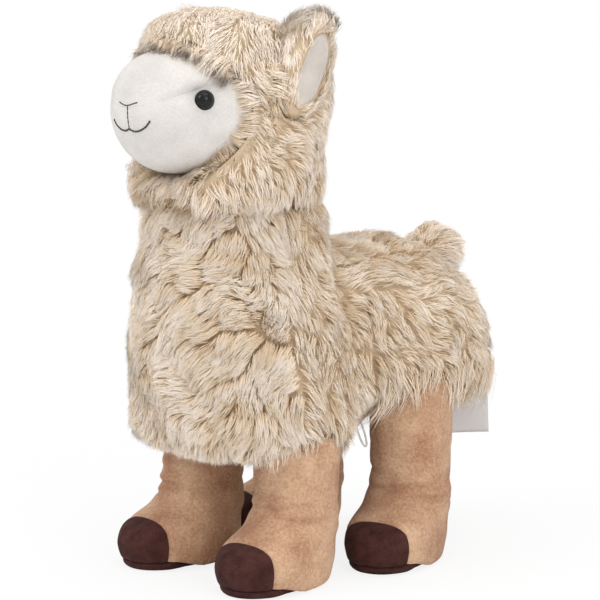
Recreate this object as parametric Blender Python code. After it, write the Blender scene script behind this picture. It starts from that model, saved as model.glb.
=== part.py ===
"""Plush llama, standing, 30 cm tall: a stuffed toy of long-pile fur with a
short-pile face, legs and feet. Metres, +Z up. The llama faces -Y, so its own
left side is +X. The origin is on the floor, under the middle of the toy."""

import math
import random

import bmesh
import bpy
from mathutils import Matrix, Vector

# Fit between pieces that are sewn or pressed together
SEAM_GAP = 0.0003

# Fur: the locks that the long pile falls into
LOCK_WIDTH = 0.0195
LOCK_LENGTH = 0.0215
LOCK_HEIGHT = 0.0060
LOCK_SLIDE = 0.0045
LOCK_SWAY = 0.9
LOCK_OFFSET = 0.37

# Neck and chest, one upright column of fur
NECK_SEAM_HEIGHT = 0.198
NECK_WIDTH = 0.086
NECK_FRONT = 0.092
NECK_BACK = 0.006
CHEST_WIDTH = 0.122
CHEST_FRONT = 0.095
CHEST_HEM_HEIGHT = 0.067
CHEST_SQUARENESS = 2.25

# Trunk, lying behind the chest
BACK_HEIGHT = 0.171
BELLY_HEIGHT = 0.082
TRUNK_WIDTH = 0.112
HIP_WIDTH = 0.130
RUMP_REACH = 0.108
TRUNK_SQUARENESS = 2.6
TRUNK_WIDEST = 0.27

# Head hood of fur
HEAD_TOP_HEIGHT = 0.2935
HEAD_WIDTH = 0.100
HEAD_BACK = 0.003
FORELOCK_REACH = 0.096
THROAT_REACH = 0.102
HEAD_SQUARENESS = 2.1
RIM_FLARE = 0.9

# Face of short plush. Depths are measured back from the tip of the muzzle.
FACE_REACH = 0.1165
FACE_SQUARENESS = 2.1
FACE_WIDTH = 0.078
FACE_CENTRE_HEIGHT = 0.2435
FACE_HEIGHT = 0.064
FACE_DEPTH = 0.0585
HOOD_RIM_TOP_DEPTH = 0.0245
HOOD_RIM_SIDE_DEPTH = 0.0425
FACE_ROWS = 11
FACE_COLUMNS = 24
NOSE_CORNER_WIDTH = 0.024
NOSE_CORNER_HEIGHT = 0.2475
NOSE_CORNER_DEPTH = 0.003
SEAM_ABOVE_EYE = 0.0018
SEAM_DISH = 0.15

# Plastic safety eyes, each with a stem and a locking washer
EYE_DIAMETER = 0.0100
EYE_DOME_HEIGHT = 0.0042
EYE_SPACING = 0.0590
EYE_DEPTH = 0.0240
EYE_HEIGHT = 0.2490
STEM_DIAMETER = 0.0034
STEM_LENGTH = 0.0105
WASHER_DIAMETER = 0.0120
WASHER_THICKNESS = 0.0014
WASHER_DEPTH = 0.0060

# Ears
EAR_LENGTH = 0.050
EAR_WIDTH = 0.026
EAR_THICKNESS = 0.018
EAR_SPACING = 0.088
EAR_REACH = 0.041
EAR_BELOW_TOP = 0.0310
EAR_LEAN = math.radians(26)
EAR_TURN = math.radians(24)
EAR_CUP_LENGTH = 0.042
EAR_CUP_WIDTH = 0.0135
EAR_CUP_DEPTH = 0.0162
EAR_CUP_BACK = 0.0040
LINING_THICKNESS = 0.0030

# Legs and feet
FRONT_STANCE = 0.073
FRONT_LEG_REACH = 0.037
HIND_STANCE = 0.082
HIND_LEG_BACK = 0.043
LEG_DIAMETER = 0.0435
FRONT_SOCKET_DEPTH = 0.010
HIND_SOCKET_DEPTH = 0.016
FOOT_WIDTH = 0.0465
FOOT_SQUARENESS = 2.15
TOE_REACH = 0.0525
HEEL_REACH = 0.0205
TOE_HEIGHT = 0.0245
INSTEP_HEIGHT = 0.030
ANKLE_HEIGHT = 0.046
CAP_LENGTH = 0.0160
CAP_LEAN = math.radians(3)
CLEFT_DEPTH = 0.0022
SOLE_THICKNESS = 0.0048
SOLE_ROUNDING = 0.0035
SOLE_SHARE = 0.87
SOLE_SET_BACK = 0.003
SOLE_HEEL_INSET = 0.0070
FRONT_TOE_OUT = math.radians(4)
HIND_TOE_OUT = math.radians(16)

# Tail
TAIL_LENGTH = 0.034
TAIL_DIAMETER = 0.030
TAIL_THICKNESS = 0.027
TAIL_HEIGHT = 0.158
TAIL_REACH = 0.1156
TAIL_LIFT = math.radians(28)

# Sewn-in care label of blank satin
LABEL_WIDTH = 0.024
LABEL_LENGTH = 0.038
LABEL_THICKNESS = 0.0006
LABEL_SEWN_IN = 0.010
LABEL_TURN = math.radians(58)
LABEL_SWING = 0.003
LABEL_ROOT = Vector((0.030, 0.096, 0.096))

# Clear plastic loop of the tag fastener
LOOP_THREAD = 0.0011
LOOP_LENGTH = 0.024
LOOP_WIDTH = 0.0050
LOOP_ROOT = Vector((0.034, 0.006, 0.0860))
LOOP_HANG = Vector((0.10, 0.30, -0.95)).normalized()
LOOP_ACROSS = Vector((0.6, 0.8, 0.0))

FUR_COLOUR = (0.78, 0.66, 0.50)
FACE_COLOUR = (0.86, 0.83, 0.79)
LEG_COLOUR = (0.68, 0.46, 0.30)
HOOF_COLOUR = (0.075, 0.030, 0.026)
LINING_COLOUR = (0.82, 0.76, 0.72)
EYE_COLOUR = (0.010, 0.009, 0.009)
WASHER_COLOUR = (0.80, 0.80, 0.78)
LABEL_COLOUR = (0.80, 0.78, 0.78)
LOOP_COLOUR = (0.80, 0.80, 0.78)


def clear_scene():
    for item in list(bpy.data.objects):
        bpy.data.objects.remove(item, do_unlink=True)


def material(name, colour, roughness, metallic=0.0):
    made = bpy.data.materials.new(name)
    made.use_nodes = True
    shader = made.node_tree.nodes["Principled BSDF"]
    shader.inputs["Base Color"].default_value = (*colour, 1.0)
    shader.inputs["Roughness"].default_value = roughness
    shader.inputs["Metallic"].default_value = metallic
    return made


def add_object(name, bm, finish, parent):
    """Close a bmesh into an object of its own, with its faces pointing out.
    Its facets are flat triangles, so that two skins meet along clean lines."""
    bmesh.ops.recalc_face_normals(bm, faces=bm.faces)
    bmesh.ops.triangulate(bm, faces=bm.faces)
    mesh = bpy.data.meshes.new(name)
    bm.to_mesh(mesh)
    bm.free()
    mesh.shade_smooth()
    mesh.set_sharp_from_angle(angle=math.radians(40))
    made = bpy.data.objects.new(name, mesh)
    bpy.context.scene.collection.objects.link(made)
    made.data.materials.append(finish)
    made.parent = parent
    return made


def as_cutter(tool):
    tool.hide_render = True
    tool.display_type = "WIRE"
    return tool


def boolean(target, tool, operation):
    """Join a hidden tool to a target, or take it away."""
    step = target.modifiers.new(operation.title(), "BOOLEAN")
    step.operation = operation
    step.solver = "EXACT"
    step.object = as_cutter(tool)
    return step


def between(stations, t):
    """A smooth curve through the stations, read at t from 0 to 1."""
    span = t * (len(stations) - 1)
    start = min(int(span), len(stations) - 2)
    part = span - start
    before, first, second, after = [
        stations[min(max(start + k, 0), len(stations) - 1)] for k in (-1, 0, 1, 2)
    ]
    return [
        b + 0.5 * part * (c - a + part * (2 * a - 5 * b + 4 * c - d + part * (3 * (b - c) + d - a)))
        for a, b, c, d in zip(before, first, second, after)
    ]


def rounded(angle, squareness):
    """A point on a unit superellipse."""
    power = 2.0 / squareness
    c, s = math.cos(angle), math.sin(angle)
    return math.copysign(abs(c) ** power, c), math.copysign(abs(s) ** power, s)


def upright_surface(stations, squareness):
    """Skin through level rings. A station is height, half width, front, back."""

    def at(t, angle):
        height, half, front, back = between(stations, t)
        c, s = rounded(angle, squareness)
        return Vector((half * c, (front + back) / 2 + (back - front) / 2 * s, height))

    return at


def lying_surface(stations, squareness, widest=0.5):
    """Skin through rings that stand across Y. A station is y, half width, top,
    bottom. The ring is widest at a share of its height."""

    def at(t, angle):
        y, half, top, bottom = between(stations, t)
        c, s = rounded(angle, squareness)
        level = bottom + widest * (top - bottom)
        return Vector((half * c, y, level + s * (top - level if s > 0 else level - bottom)))

    return at


def outward(surface, t, angle):
    """The surface's unit normal, pointing away from its axis."""
    step = 0.004
    low, high = max(t - step, 0.0), min(t + step, 1.0)
    along = surface(high, angle) - surface(low, angle)
    around = surface(t, angle + step) - surface(t, angle - step)
    normal = along.cross(around).normalized()
    middle = (surface(t, 0) + surface(t, math.pi)) / 2
    if normal.dot(surface(t, angle) - middle) < 0:
        normal.negate()
    return normal, along.normalized()


def even_rows(surface, count):
    """Values of t that space the rings evenly along the surface."""
    samples = 200
    angles = [k * math.pi / 4 for k in range(8)]
    lengths = [0.0]
    for i in range(samples):
        step = sum((surface((i + 1) / samples, a) - surface(i / samples, a)).length for a in angles)
        lengths.append(lengths[-1] + step / len(angles))
    rows = []
    reached = 0
    for i in range(count):
        goal = lengths[-1] * i / (count - 1)
        while reached < samples - 1 and lengths[reached + 1] < goal:
            reached += 1
        span = lengths[reached + 1] - lengths[reached]
        rows.append((reached + (goal - lengths[reached]) / span) / samples)
    return rows, lengths[-1]


def skin(rings):
    """Bridge closed rings of points, and cap both ends."""
    bm = bmesh.new()
    loops = []
    for points in rings:
        ring = bmesh.ops.create_circle(bm, cap_ends=False, segments=len(points), radius=1.0)["verts"]
        for vertex, point in zip(ring, points):
            vertex.co = point
        loops.append(list({edge for vertex in ring for edge in vertex.link_edges}))
    for first, second in zip(loops, loops[1:]):
        bmesh.ops.bridge_loops(bm, edges=first + second)
    for loop in (loops[0], loops[-1]):
        bmesh.ops.contextual_create(bm, geom=loop)
    bmesh.ops.recalc_face_normals(bm, faces=bm.faces)
    return bm


def fur_skin(surface, seed, seam=None):
    """Skin with the pile fallen into overlapping locks, laid like shingles
    from the start of the surface to its end. Each lock has three rings. The
    locks lie down towards a level seam, where another piece is sewn on."""
    middle_girth = sum(
        (surface(0.5, (k + 1) * math.pi / 16) - surface(0.5, k * math.pi / 16)).length
        for k in range(32)
    )
    columns = 2 * round(middle_girth / LOCK_WIDTH)
    length = even_rows(surface, 2)[1]
    lock_rows = round(length / LOCK_LENGTH)
    rows, _ = even_rows(surface, 3 * lock_rows + 1)
    draw = random.Random(seed)
    liveliness = [[draw.uniform(0.45, 1.2) for _ in range(columns)] for _ in range(lock_rows + 1)]
    swing = [[draw.uniform(-0.4, 0.4) for _ in range(columns)] for _ in range(lock_rows + 1)]
    phases = [draw.uniform(0, 2 * math.pi) for _ in range(3)]
    rings = []
    for i, row in enumerate(rows):
        lock_row, phase = divmod(i, 3)
        fade = math.sin(math.pi * row) ** 0.5 / (3 * lock_rows)
        points = []
        for j in range(columns):
            is_tip = phase == 2 and (j + lock_row) % 2 == 0
            angle = 2 * math.pi * (j + LOCK_OFFSET + (swing[lock_row][j] if is_tip else 0)) / columns
            waves = [math.sin((k + 2) * angle + phases[k]) for k in range(3)]
            t = row + LOCK_SWAY * fade * sum(waves)
            normal, along = outward(surface, t, angle)
            is_ridge = (j + lock_row) % 2 == 0
            lively = liveliness[lock_row][j // 2]
            lift = (0.0, 0.6, 1.0)[phase] * lively * (1.0 if is_ridge else 0.3)
            slide = LOCK_SLIDE * lively if is_tip else 0.0
            crowding = (surface(t, angle + math.pi / columns) - surface(t, angle)).length
            room = min(1.0, (crowding / (LOCK_WIDTH / 4)) ** 2)
            point = surface(t, angle)
            if seam is not None:
                room *= min(1.0, abs(point.z - seam) / LOCK_HEIGHT)
            if i in (0, len(rows) - 1):
                room = 0.0
            points.append(point + room * (normal * LOCK_HEIGHT * (lift - 0.4) + along * slide))
        rings.append(points)
    return skin(rings)


def plain_skin(surface, rows, columns, spaced_like=None):
    ts, _ = even_rows(spaced_like or surface, rows)
    return skin([[surface(t, 2 * math.pi * j / columns) for j in range(columns)] for t in ts])


def chest_surface():
    neck, chest = NECK_WIDTH / 2, CHEST_WIDTH / 2
    fall = NECK_SEAM_HEIGHT - CHEST_HEM_HEIGHT
    stations = [
        (NECK_SEAM_HEIGHT, neck, -NECK_FRONT, -NECK_BACK),
        (NECK_SEAM_HEIGHT - 0.14 * fall, neck + 0.18 * (chest - neck), -NECK_FRONT, -NECK_BACK + 0.006),
        (NECK_SEAM_HEIGHT - 0.44 * fall, neck + 0.50 * (chest - neck), -CHEST_FRONT - 0.003, 0.008),
        (NECK_SEAM_HEIGHT - 0.73 * fall, neck + 0.94 * (chest - neck), -CHEST_FRONT, 0.014),
        (CHEST_HEM_HEIGHT + 0.009, chest, -CHEST_FRONT + 0.003, 0.012),
        (CHEST_HEM_HEIGHT, chest * 0.92, -CHEST_FRONT + 0.011, 0.004),
        (CHEST_HEM_HEIGHT + 0.002, chest * 0.55, -CHEST_FRONT * 0.68, -0.016),
    ]
    return upright_surface(stations, CHEST_SQUARENESS)


def trunk_surface():
    trunk, hip = TRUNK_WIDTH / 2, HIP_WIDTH / 2
    rump = BELLY_HEIGHT + 0.020
    stations = [
        (-0.020, trunk * 0.80, BACK_HEIGHT - 0.012, BELLY_HEIGHT + 0.004),
        (0.008, trunk, BACK_HEIGHT, BELLY_HEIGHT),
        (0.036, hip, BACK_HEIGHT, BELLY_HEIGHT - 0.001),
        (0.064, hip, BACK_HEIGHT - 0.002, BELLY_HEIGHT - 0.001),
        (RUMP_REACH - 0.023, hip * 0.90, BACK_HEIGHT - 0.014, BELLY_HEIGHT),
        (RUMP_REACH - 0.008, hip * 0.68, BACK_HEIGHT - 0.034, BELLY_HEIGHT + 0.005),
        (RUMP_REACH, hip * 0.18, rump + 0.010, rump - 0.008),
    ]
    return lying_surface(stations, TRUNK_SQUARENESS, widest=TRUNK_WIDEST)


def head_surface(bottom):
    half = HEAD_WIDTH / 2
    top = HEAD_TOP_HEIGHT
    rise = top - NECK_SEAM_HEIGHT
    stations = [
        (top, half * 0.16, -FORELOCK_REACH * 0.76, -0.052),
        (top - 0.05 * rise, half * 0.58, -FORELOCK_REACH * 0.92, -0.031),
        (top - 0.16 * rise, half * 0.82, -FORELOCK_REACH * 0.99, -0.013),
        (top - 0.33 * rise, half * 0.97, -FORELOCK_REACH, HEAD_BACK - 0.001),
        (top - 0.51 * rise, half, -FORELOCK_REACH, HEAD_BACK),
        (top - 0.69 * rise, half * 0.96, -THROAT_REACH + 0.005, HEAD_BACK - 0.005),
        (top - 0.87 * rise, half * 0.98, -THROAT_REACH, HEAD_BACK - 0.005),
        (bottom + 0.002, half * 0.95, -THROAT_REACH + 0.003, HEAD_BACK - 0.008),
        (bottom, half * 0.86, -THROAT_REACH + 0.010, HEAD_BACK - 0.012),
    ]
    return upright_surface(stations, HEAD_SQUARENESS)


def face_surface(grow):
    half, tall, mid = FACE_WIDTH / 2 + grow, FACE_HEIGHT / 2 + grow, FACE_CENTRE_HEIGHT
    tip = FACE_REACH + grow
    stations = [
        (-tip, half * 0.10, mid + tall * 0.15, mid - tall * 0.10),
        (-tip + 0.0012, half * 0.30, mid + tall * 0.38, mid - tall * 0.32),
        (-tip + 0.0060, half * 0.54, mid + tall * 0.66, mid - tall * 0.62),
        (-tip + 0.0140, half * 0.72, mid + tall * 0.84, mid - tall * 0.86),
        (-tip + 0.0250, half * 0.84, mid + tall * 0.94, mid - tall),
        (-tip + 0.0380, half * 0.95, mid + tall, mid - tall),
        (-tip + 0.0480, half, mid + tall, mid - tall * 0.98),
        (FACE_DEPTH - FACE_REACH + grow, half * 0.98, mid + tall * 0.97, mid - tall * 0.95),
    ]
    return lying_surface(stations, FACE_SQUARENESS)


def socket_surface():
    """The hollow in the hood that the face fills. Ahead of the hood's rim it
    flares, so that the rim is a clean edge of fur framing the face."""
    face = face_surface(2 * SEAM_GAP)
    top, side = HOOD_RIM_TOP_DEPTH - FACE_REACH, HOOD_RIM_SIDE_DEPTH - FACE_REACH

    def at(t, angle):
        point = face(t, angle)
        rim = side + (top - side) * math.sin(angle) ** 2
        flare = RIM_FLARE * max(0.0, rim - point.y)
        return point + Vector((math.cos(angle), 0.0, math.sin(angle))) * flare

    return at


def build_body(fur, root):
    """Chest and trunk are sewn from one fur, so they are one stuffed solid."""
    body = add_object("body_fur", fur_skin(chest_surface(), 11, seam=NECK_SEAM_HEIGHT), fur, root)
    trunk = add_object("trunk_guide", fur_skin(trunk_surface(), 23), fur, root)
    boolean(body, trunk, "UNION")
    return body


def build_head(fur, root):
    bottom = NECK_SEAM_HEIGHT + SEAM_GAP
    head = add_object("head_hood", fur_skin(head_surface(bottom), 41, seam=bottom), fur, root)
    hollow = plain_skin(socket_surface(), FACE_ROWS, FACE_COLUMNS, face_surface(0.0))
    socket = add_object("face_socket", hollow, fur, root)
    boolean(head, socket, "DIFFERENCE")
    return head


def bridge_wedge(name, drop, finish, root):
    """The forehead panel is what lies above two seams that run from the nose
    up past the eyes. Inside the head the seams dish down to the middle."""
    reach, half, top = 2 * FACE_REACH, FACE_WIDTH, FACE_CENTRE_HEIGHT + FACE_HEIGHT
    eye_rim = EYE_HEIGHT + EYE_DIAMETER / 2 + SEAM_ABOVE_EYE
    dish = SEAM_DISH * (EYE_SPACING - NOSE_CORNER_WIDTH) / 2
    slope = (eye_rim - NOSE_CORNER_HEIGHT - dish) / (EYE_DEPTH - NOSE_CORNER_DEPTH)
    nose_y = NOSE_CORNER_DEPTH - FACE_REACH
    outline = []
    for y in (-reach, 0.0):
        middle = NOSE_CORNER_HEIGHT - SEAM_DISH * NOSE_CORNER_WIDTH / 2 + slope * (y - nose_y) - drop
        side = middle + SEAM_DISH * half
        outline.append([(-half, y, side), (0.0, y, middle), (half, y, side), (half, y, top), (-half, y, top)])
    bm = bmesh.new()
    ends = [[bm.verts.new(point) for point in ring] for ring in outline]
    faces = [bm.faces.new(ring) for ring in ends]
    bmesh.ops.bridge_loops(bm, edges=[edge for face in faces for edge in face.edges])
    return add_object(name, bm, finish, root)


def eye_frame(side):
    """Place and facing of an eye: outward along the cheek's normal."""
    place = Vector((side * EYE_SPACING / 2, EYE_DEPTH - FACE_REACH, EYE_HEIGHT))
    facing = Vector((side * 0.90, -0.42, 0.10)).normalized()
    return place, facing


def turned(profile, place, facing, segments):
    """Revolve a profile of (radius, height) pairs about the facing axis."""
    bm = bmesh.new()
    chain = [bm.verts.new((radius, 0.0, height)) for radius, height in profile]
    edges = [bm.edges.new(pair) for pair in zip(chain, chain[1:])]
    bmesh.ops.spin(
        bm, geom=chain + edges, cent=(0, 0, 0), axis=(0, 0, 1), angle=2 * math.pi,
        steps=segments, use_merge=True,
    )
    bmesh.ops.remove_doubles(bm, verts=bm.verts, dist=1e-6)
    turn = facing.to_track_quat("Z", "Y").to_matrix().to_4x4()
    bmesh.ops.transform(bm, matrix=Matrix.Translation(place) @ turn, verts=bm.verts)
    return bm


def dome_profile():
    radius, stem = EYE_DIAMETER / 2, STEM_DIAMETER / 2
    profile = [(0.0, -STEM_LENGTH), (stem, -STEM_LENGTH), (stem, SEAM_GAP), (radius * 0.92, SEAM_GAP)]
    profile.append((radius, SEAM_GAP + 0.0008))
    steps = 4
    for k in range(1, steps + 1):
        angle = math.pi / 2 * k / steps
        lift = SEAM_GAP + 0.0008 + EYE_DOME_HEIGHT * math.sin(angle)
        profile.append((radius * math.cos(angle) if k < steps else 0.0, lift))
    return profile


def washer_profile(grow):
    outer, bore = WASHER_DIAMETER / 2 + grow, STEM_DIAMETER / 2 + SEAM_GAP - grow
    top, bottom = -WASHER_DEPTH + grow, -WASHER_DEPTH - WASHER_THICKNESS - grow
    return outer, bore, top, bottom


def build_eyes(muzzle, eye_finish, washer_finish, root):
    for side, word in ((1, "left"), (-1, "right")):
        place, facing = eye_frame(side)
        add_object(f"eye_{word}", turned(dome_profile(), place, facing, 14), eye_finish, root)
        outer, bore, top, bottom = washer_profile(0.0)
        ring = [(bore, bottom), (outer, bottom), (outer, top), (bore, top), (bore, bottom)]
        add_object(f"eye_washer_{word}", turned(ring, place, facing, 12), washer_finish, root)
        hole = STEM_DIAMETER / 2 + SEAM_GAP
        outer, _, top, bottom = washer_profile(SEAM_GAP)
        end = -STEM_LENGTH - SEAM_GAP
        seat = EYE_DIAMETER / 2 + SEAM_GAP
        pocket = [
            (0.0, end), (hole, end), (hole, bottom), (outer, bottom), (outer, top),
            (hole, top), (hole, 0.0), (seat, 0.0), (seat, 0.006), (0.0, 0.006),
        ]
        tool = add_object(f"eye_pocket_{word}", turned(pocket, place, facing, 12), washer_finish, root)
        boolean(muzzle, tool, "DIFFERENCE")


def build_face(face, root):
    rows, columns = FACE_ROWS, FACE_COLUMNS
    muzzle = add_object("muzzle", plain_skin(face_surface(0.0), rows, columns), face, root)
    boolean(muzzle, bridge_wedge("forehead_cutter", SEAM_GAP, face, root), "DIFFERENCE")
    bridge = add_object("forehead_panel", plain_skin(face_surface(0.0), rows, columns), face, root)
    boolean(bridge, bridge_wedge("forehead_keeper", 0.0, face, root), "INTERSECT")
    return muzzle


def ear_matrix(side):
    """Place an ear upright, leaning back, its opening turned out and forward."""
    place = Vector((side * EAR_SPACING / 2, -EAR_REACH, HEAD_TOP_HEIGHT - EAR_BELOW_TOP))
    turn = Matrix.Rotation(-side * EAR_TURN, 4, "Z")
    lean = Matrix.Rotation(-EAR_LEAN, 4, "X")
    return Matrix.Translation(place) @ lean @ turn


def add_leaf(name, size, grown, place, finish, root):
    """A closed leaf with round ends, standing in the local YZ plane."""
    length, width, thickness = [value + grown for value in size]
    rows, columns = 8, 10
    rings = []
    for i in range(rows):
        lift = -math.cos(math.pi * (i + 0.5) / rows)
        swell = (1 - lift ** 2) ** 0.4
        angles = [2 * math.pi * j / columns for j in range(columns)]
        rings.append([
            Vector((thickness * swell * math.sin(a), width * swell * math.cos(a), length * lift)) / 2
            for a in angles
        ])
    bm = skin(rings)
    bmesh.ops.transform(bm, matrix=place, verts=bm.verts)
    return add_object(name, bm, finish, root)


def build_ears(head, fur, lining, root):
    """Each ear is sewn into the hood, which parts in front of it. The ear is
    scooped out to a narrow cup behind a broad front flap of fur, and its lining
    follows the cup's floor."""
    grown = 2 * SEAM_GAP
    ear_size = (EAR_LENGTH, EAR_WIDTH, EAR_THICKNESS)
    cup_size = (EAR_CUP_LENGTH, EAR_CUP_WIDTH, EAR_CUP_DEPTH)
    for side, word in ((1, "left"), (-1, "right")):
        place = ear_matrix(side)
        cup = place @ Matrix.Translation((side * EAR_THICKNESS * 0.46, EAR_CUP_BACK, 0.0))
        face = cup @ Matrix.Translation((side * LINING_THICKNESS, 0.0, 0.0))
        parting = place @ Matrix.Translation((side * EAR_THICKNESS * 0.75, 0.0, 0.0))
        tilted = parting @ Matrix.Rotation(math.radians(7), 4, "X")
        ear = add_leaf(f"ear_{word}", ear_size, 0.0, place, fur, root)
        lined = add_leaf(f"ear_lining_{word}", cup_size, 0.0, cup, lining, root)
        boolean(ear, add_leaf(f"ear_cup_{word}", cup_size, grown, cup, lining, root), "DIFFERENCE")
        boolean(lined, add_leaf(f"ear_whole_{word}", ear_size, -grown, place, fur, root), "INTERSECT")
        boolean(lined, add_leaf(f"lining_face_{word}", cup_size, 0.0, face, lining, root), "DIFFERENCE")
        boolean(head, add_leaf(f"ear_seat_{word}", ear_size, grown, place, fur, root), "DIFFERENCE")
        opening = (EAR_LENGTH * 0.94, EAR_WIDTH * 1.05, EAR_THICKNESS * 1.30)
        boolean(head, add_leaf(f"ear_parting_{word}", opening, 0.0, tilted, fur, root), "DIFFERENCE")


def foot_surface(top):
    """Leg and foot in one, its axis at the origin and its toes towards -Y."""
    leg, foot = LEG_DIAMETER / 2, FOOT_WIDTH / 2
    floor = SOLE_THICKNESS + SEAM_GAP
    side = (foot + leg) / 2
    stations = [
        (floor, foot * 0.87, -TOE_REACH + 0.0035, HEEL_REACH - 0.006),
        (floor + 0.004, foot * 0.97, -TOE_REACH + 0.0005, HEEL_REACH - 0.001),
        (floor + 0.009, foot, -TOE_REACH, HEEL_REACH),
        (TOE_HEIGHT - 0.004, foot, -TOE_REACH + 0.003, HEEL_REACH),
        (TOE_HEIGHT, foot * 0.99, -TOE_REACH + 0.010, HEEL_REACH),
        (INSTEP_HEIGHT, foot * 0.97, -TOE_REACH + 0.022, leg),
        ((INSTEP_HEIGHT + ANKLE_HEIGHT) / 2, side * 0.97, -leg * 1.13, leg * 0.97),
        (ANKLE_HEIGHT, leg * 0.96, -leg * 1.02, leg * 0.97),
        ((ANKLE_HEIGHT + top) / 2, leg, -leg, leg),
        (top, leg, -leg, leg),
    ]
    return upright_surface(stations, FOOT_SQUARENESS)


def leg_socket_surface(top):
    """The hollow in the body that the top of a leg is sewn into."""
    half = LEG_DIAMETER / 2 + 2 * SEAM_GAP
    return upright_surface(
        [(ANKLE_HEIGHT, half, -half, half), (top + SEAM_GAP, half, -half, half)], FOOT_SQUARENESS
    )


def cleft(bm):
    """Draw the seam between the two toes in, along the middle of the cap."""
    front = -TOE_REACH + CAP_LENGTH
    for vertex in bm.verts:
        if abs(vertex.co.x) < SEAM_GAP and vertex.co.y < front:
            vertex.co.y += CLEFT_DEPTH


def cap_plane():
    """The toe cap's seam stands across the foot and leans a little forward."""
    low = Vector((0.0, -TOE_REACH + CAP_LENGTH, SOLE_THICKNESS))
    normal = Vector((0.0, -math.cos(CAP_LEAN), -math.sin(CAP_LEAN)))
    return low, normal


def keep_side(bm, place, normal):
    """Cut a closed bmesh by a plane and cap it, keeping what lies behind the plane."""
    geom = bm.verts[:] + bm.edges[:] + bm.faces[:]
    cut = bmesh.ops.bisect_plane(
        bm, geom=geom, dist=1e-7, plane_co=place, plane_no=normal, clear_outer=True
    )
    edges = [item for item in cut["geom_cut"] if isinstance(item, bmesh.types.BMEdge)]
    bmesh.ops.contextual_create(bm, geom=edges)


def sole_surface():
    half = FOOT_WIDTH / 2 * SOLE_SHARE
    front = -TOE_REACH + SOLE_SET_BACK
    heel = HEEL_REACH - SOLE_HEEL_INSET
    stations = []
    for height, inset in ((0.0, 1.0), (0.25, 0.3), (0.65, 0.0), (1.0, 0.1)):
        inset *= SOLE_ROUNDING
        stations.append((SOLE_THICKNESS * height, half - inset, front + inset, heel - inset))
    return upright_surface(stations, FOOT_SQUARENESS)


def leg_matrix(side, is_front):
    toe_out = FRONT_TOE_OUT if is_front else HIND_TOE_OUT
    stance = FRONT_STANCE if is_front else HIND_STANCE
    along = -FRONT_LEG_REACH if is_front else HIND_LEG_BACK
    turn = Matrix.Rotation(side * toe_out, 4, "Z")
    return Matrix.Translation((side * stance / 2, along, 0.0)) @ turn


def build_legs(body, leg_finish, hoof_finish, root):
    columns = 18
    low, normal = cap_plane()
    for is_front, end in ((True, "front"), (False, "hind")):
        top = CHEST_HEM_HEIGHT + FRONT_SOCKET_DEPTH if is_front else BELLY_HEIGHT + HIND_SOCKET_DEPTH
        for side, word in ((1, "left"), (-1, "right")):
            place = leg_matrix(side, is_front)
            leg_bm = plain_skin(foot_surface(top), 12, columns)
            keep_side(leg_bm, low - normal * SEAM_GAP / 2, normal)
            bmesh.ops.transform(leg_bm, matrix=place, verts=leg_bm.verts)
            add_object(f"leg_{end}_{word}", leg_bm, leg_finish, root)
            cap_bm = plain_skin(foot_surface(top), 12, columns)
            cleft(cap_bm)
            keep_side(cap_bm, low + normal * SEAM_GAP / 2, -normal)
            bmesh.ops.transform(cap_bm, matrix=place, verts=cap_bm.verts)
            add_object(f"toe_cap_{end}_{word}", cap_bm, hoof_finish, root)
            sole_bm = plain_skin(sole_surface(), 4, columns)
            bmesh.ops.transform(sole_bm, matrix=place, verts=sole_bm.verts)
            add_object(f"sole_{end}_{word}", sole_bm, hoof_finish, root)
            socket_bm = plain_skin(leg_socket_surface(top), 2, columns)
            bmesh.ops.transform(socket_bm, matrix=place, verts=socket_bm.verts)
            socket = add_object(f"leg_socket_{end}_{word}", socket_bm, leg_finish, root)
            boolean(body, socket, "DIFFERENCE")


def tail_surface(grow):
    """The tail along its own axis, from its root in the rump to its tip."""
    half, thick, reach = TAIL_DIAMETER / 2 + grow, TAIL_THICKNESS / 2 + grow, TAIL_LENGTH / 2 + grow
    stations = []
    for along, swell in ((-1.0, 0.2), (-0.8, 0.6), (-0.35, 0.94), (0.1, 1.0), (0.55, 0.84), (0.85, 0.52), (1.0, 0.14)):
        stations.append((reach * along, half * swell, thick * swell, -thick * swell))
    return lying_surface(stations, 2.0)


def build_tail(body, fur, root):
    """A short tuft of fur, sewn into the top of the rump."""
    place = Matrix.Translation((0.0, TAIL_REACH - TAIL_LENGTH / 2 * math.cos(TAIL_LIFT), TAIL_HEIGHT))
    place = place @ Matrix.Rotation(TAIL_LIFT, 4, "X")
    for name, grown in (("tail", 0.0), ("tail_seat", 2 * SEAM_GAP)):
        bm = fur_skin(tail_surface(grown), 57)
        bmesh.ops.transform(bm, matrix=place, verts=bm.verts)
        made = add_object(name, bm, fur, root)
    boolean(body, made, "DIFFERENCE")


def label_points(grown):
    """The corners of the label's middle line, seen from above: it starts in the
    fur and hangs out behind, swinging away from the rump as it falls."""
    half = LABEL_THICKNESS / 2 + grown
    across = Vector((math.cos(LABEL_TURN), math.sin(LABEL_TURN), 0.0))
    normal = Vector((-across.y, across.x, 0.0))
    return across, normal, half


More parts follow.
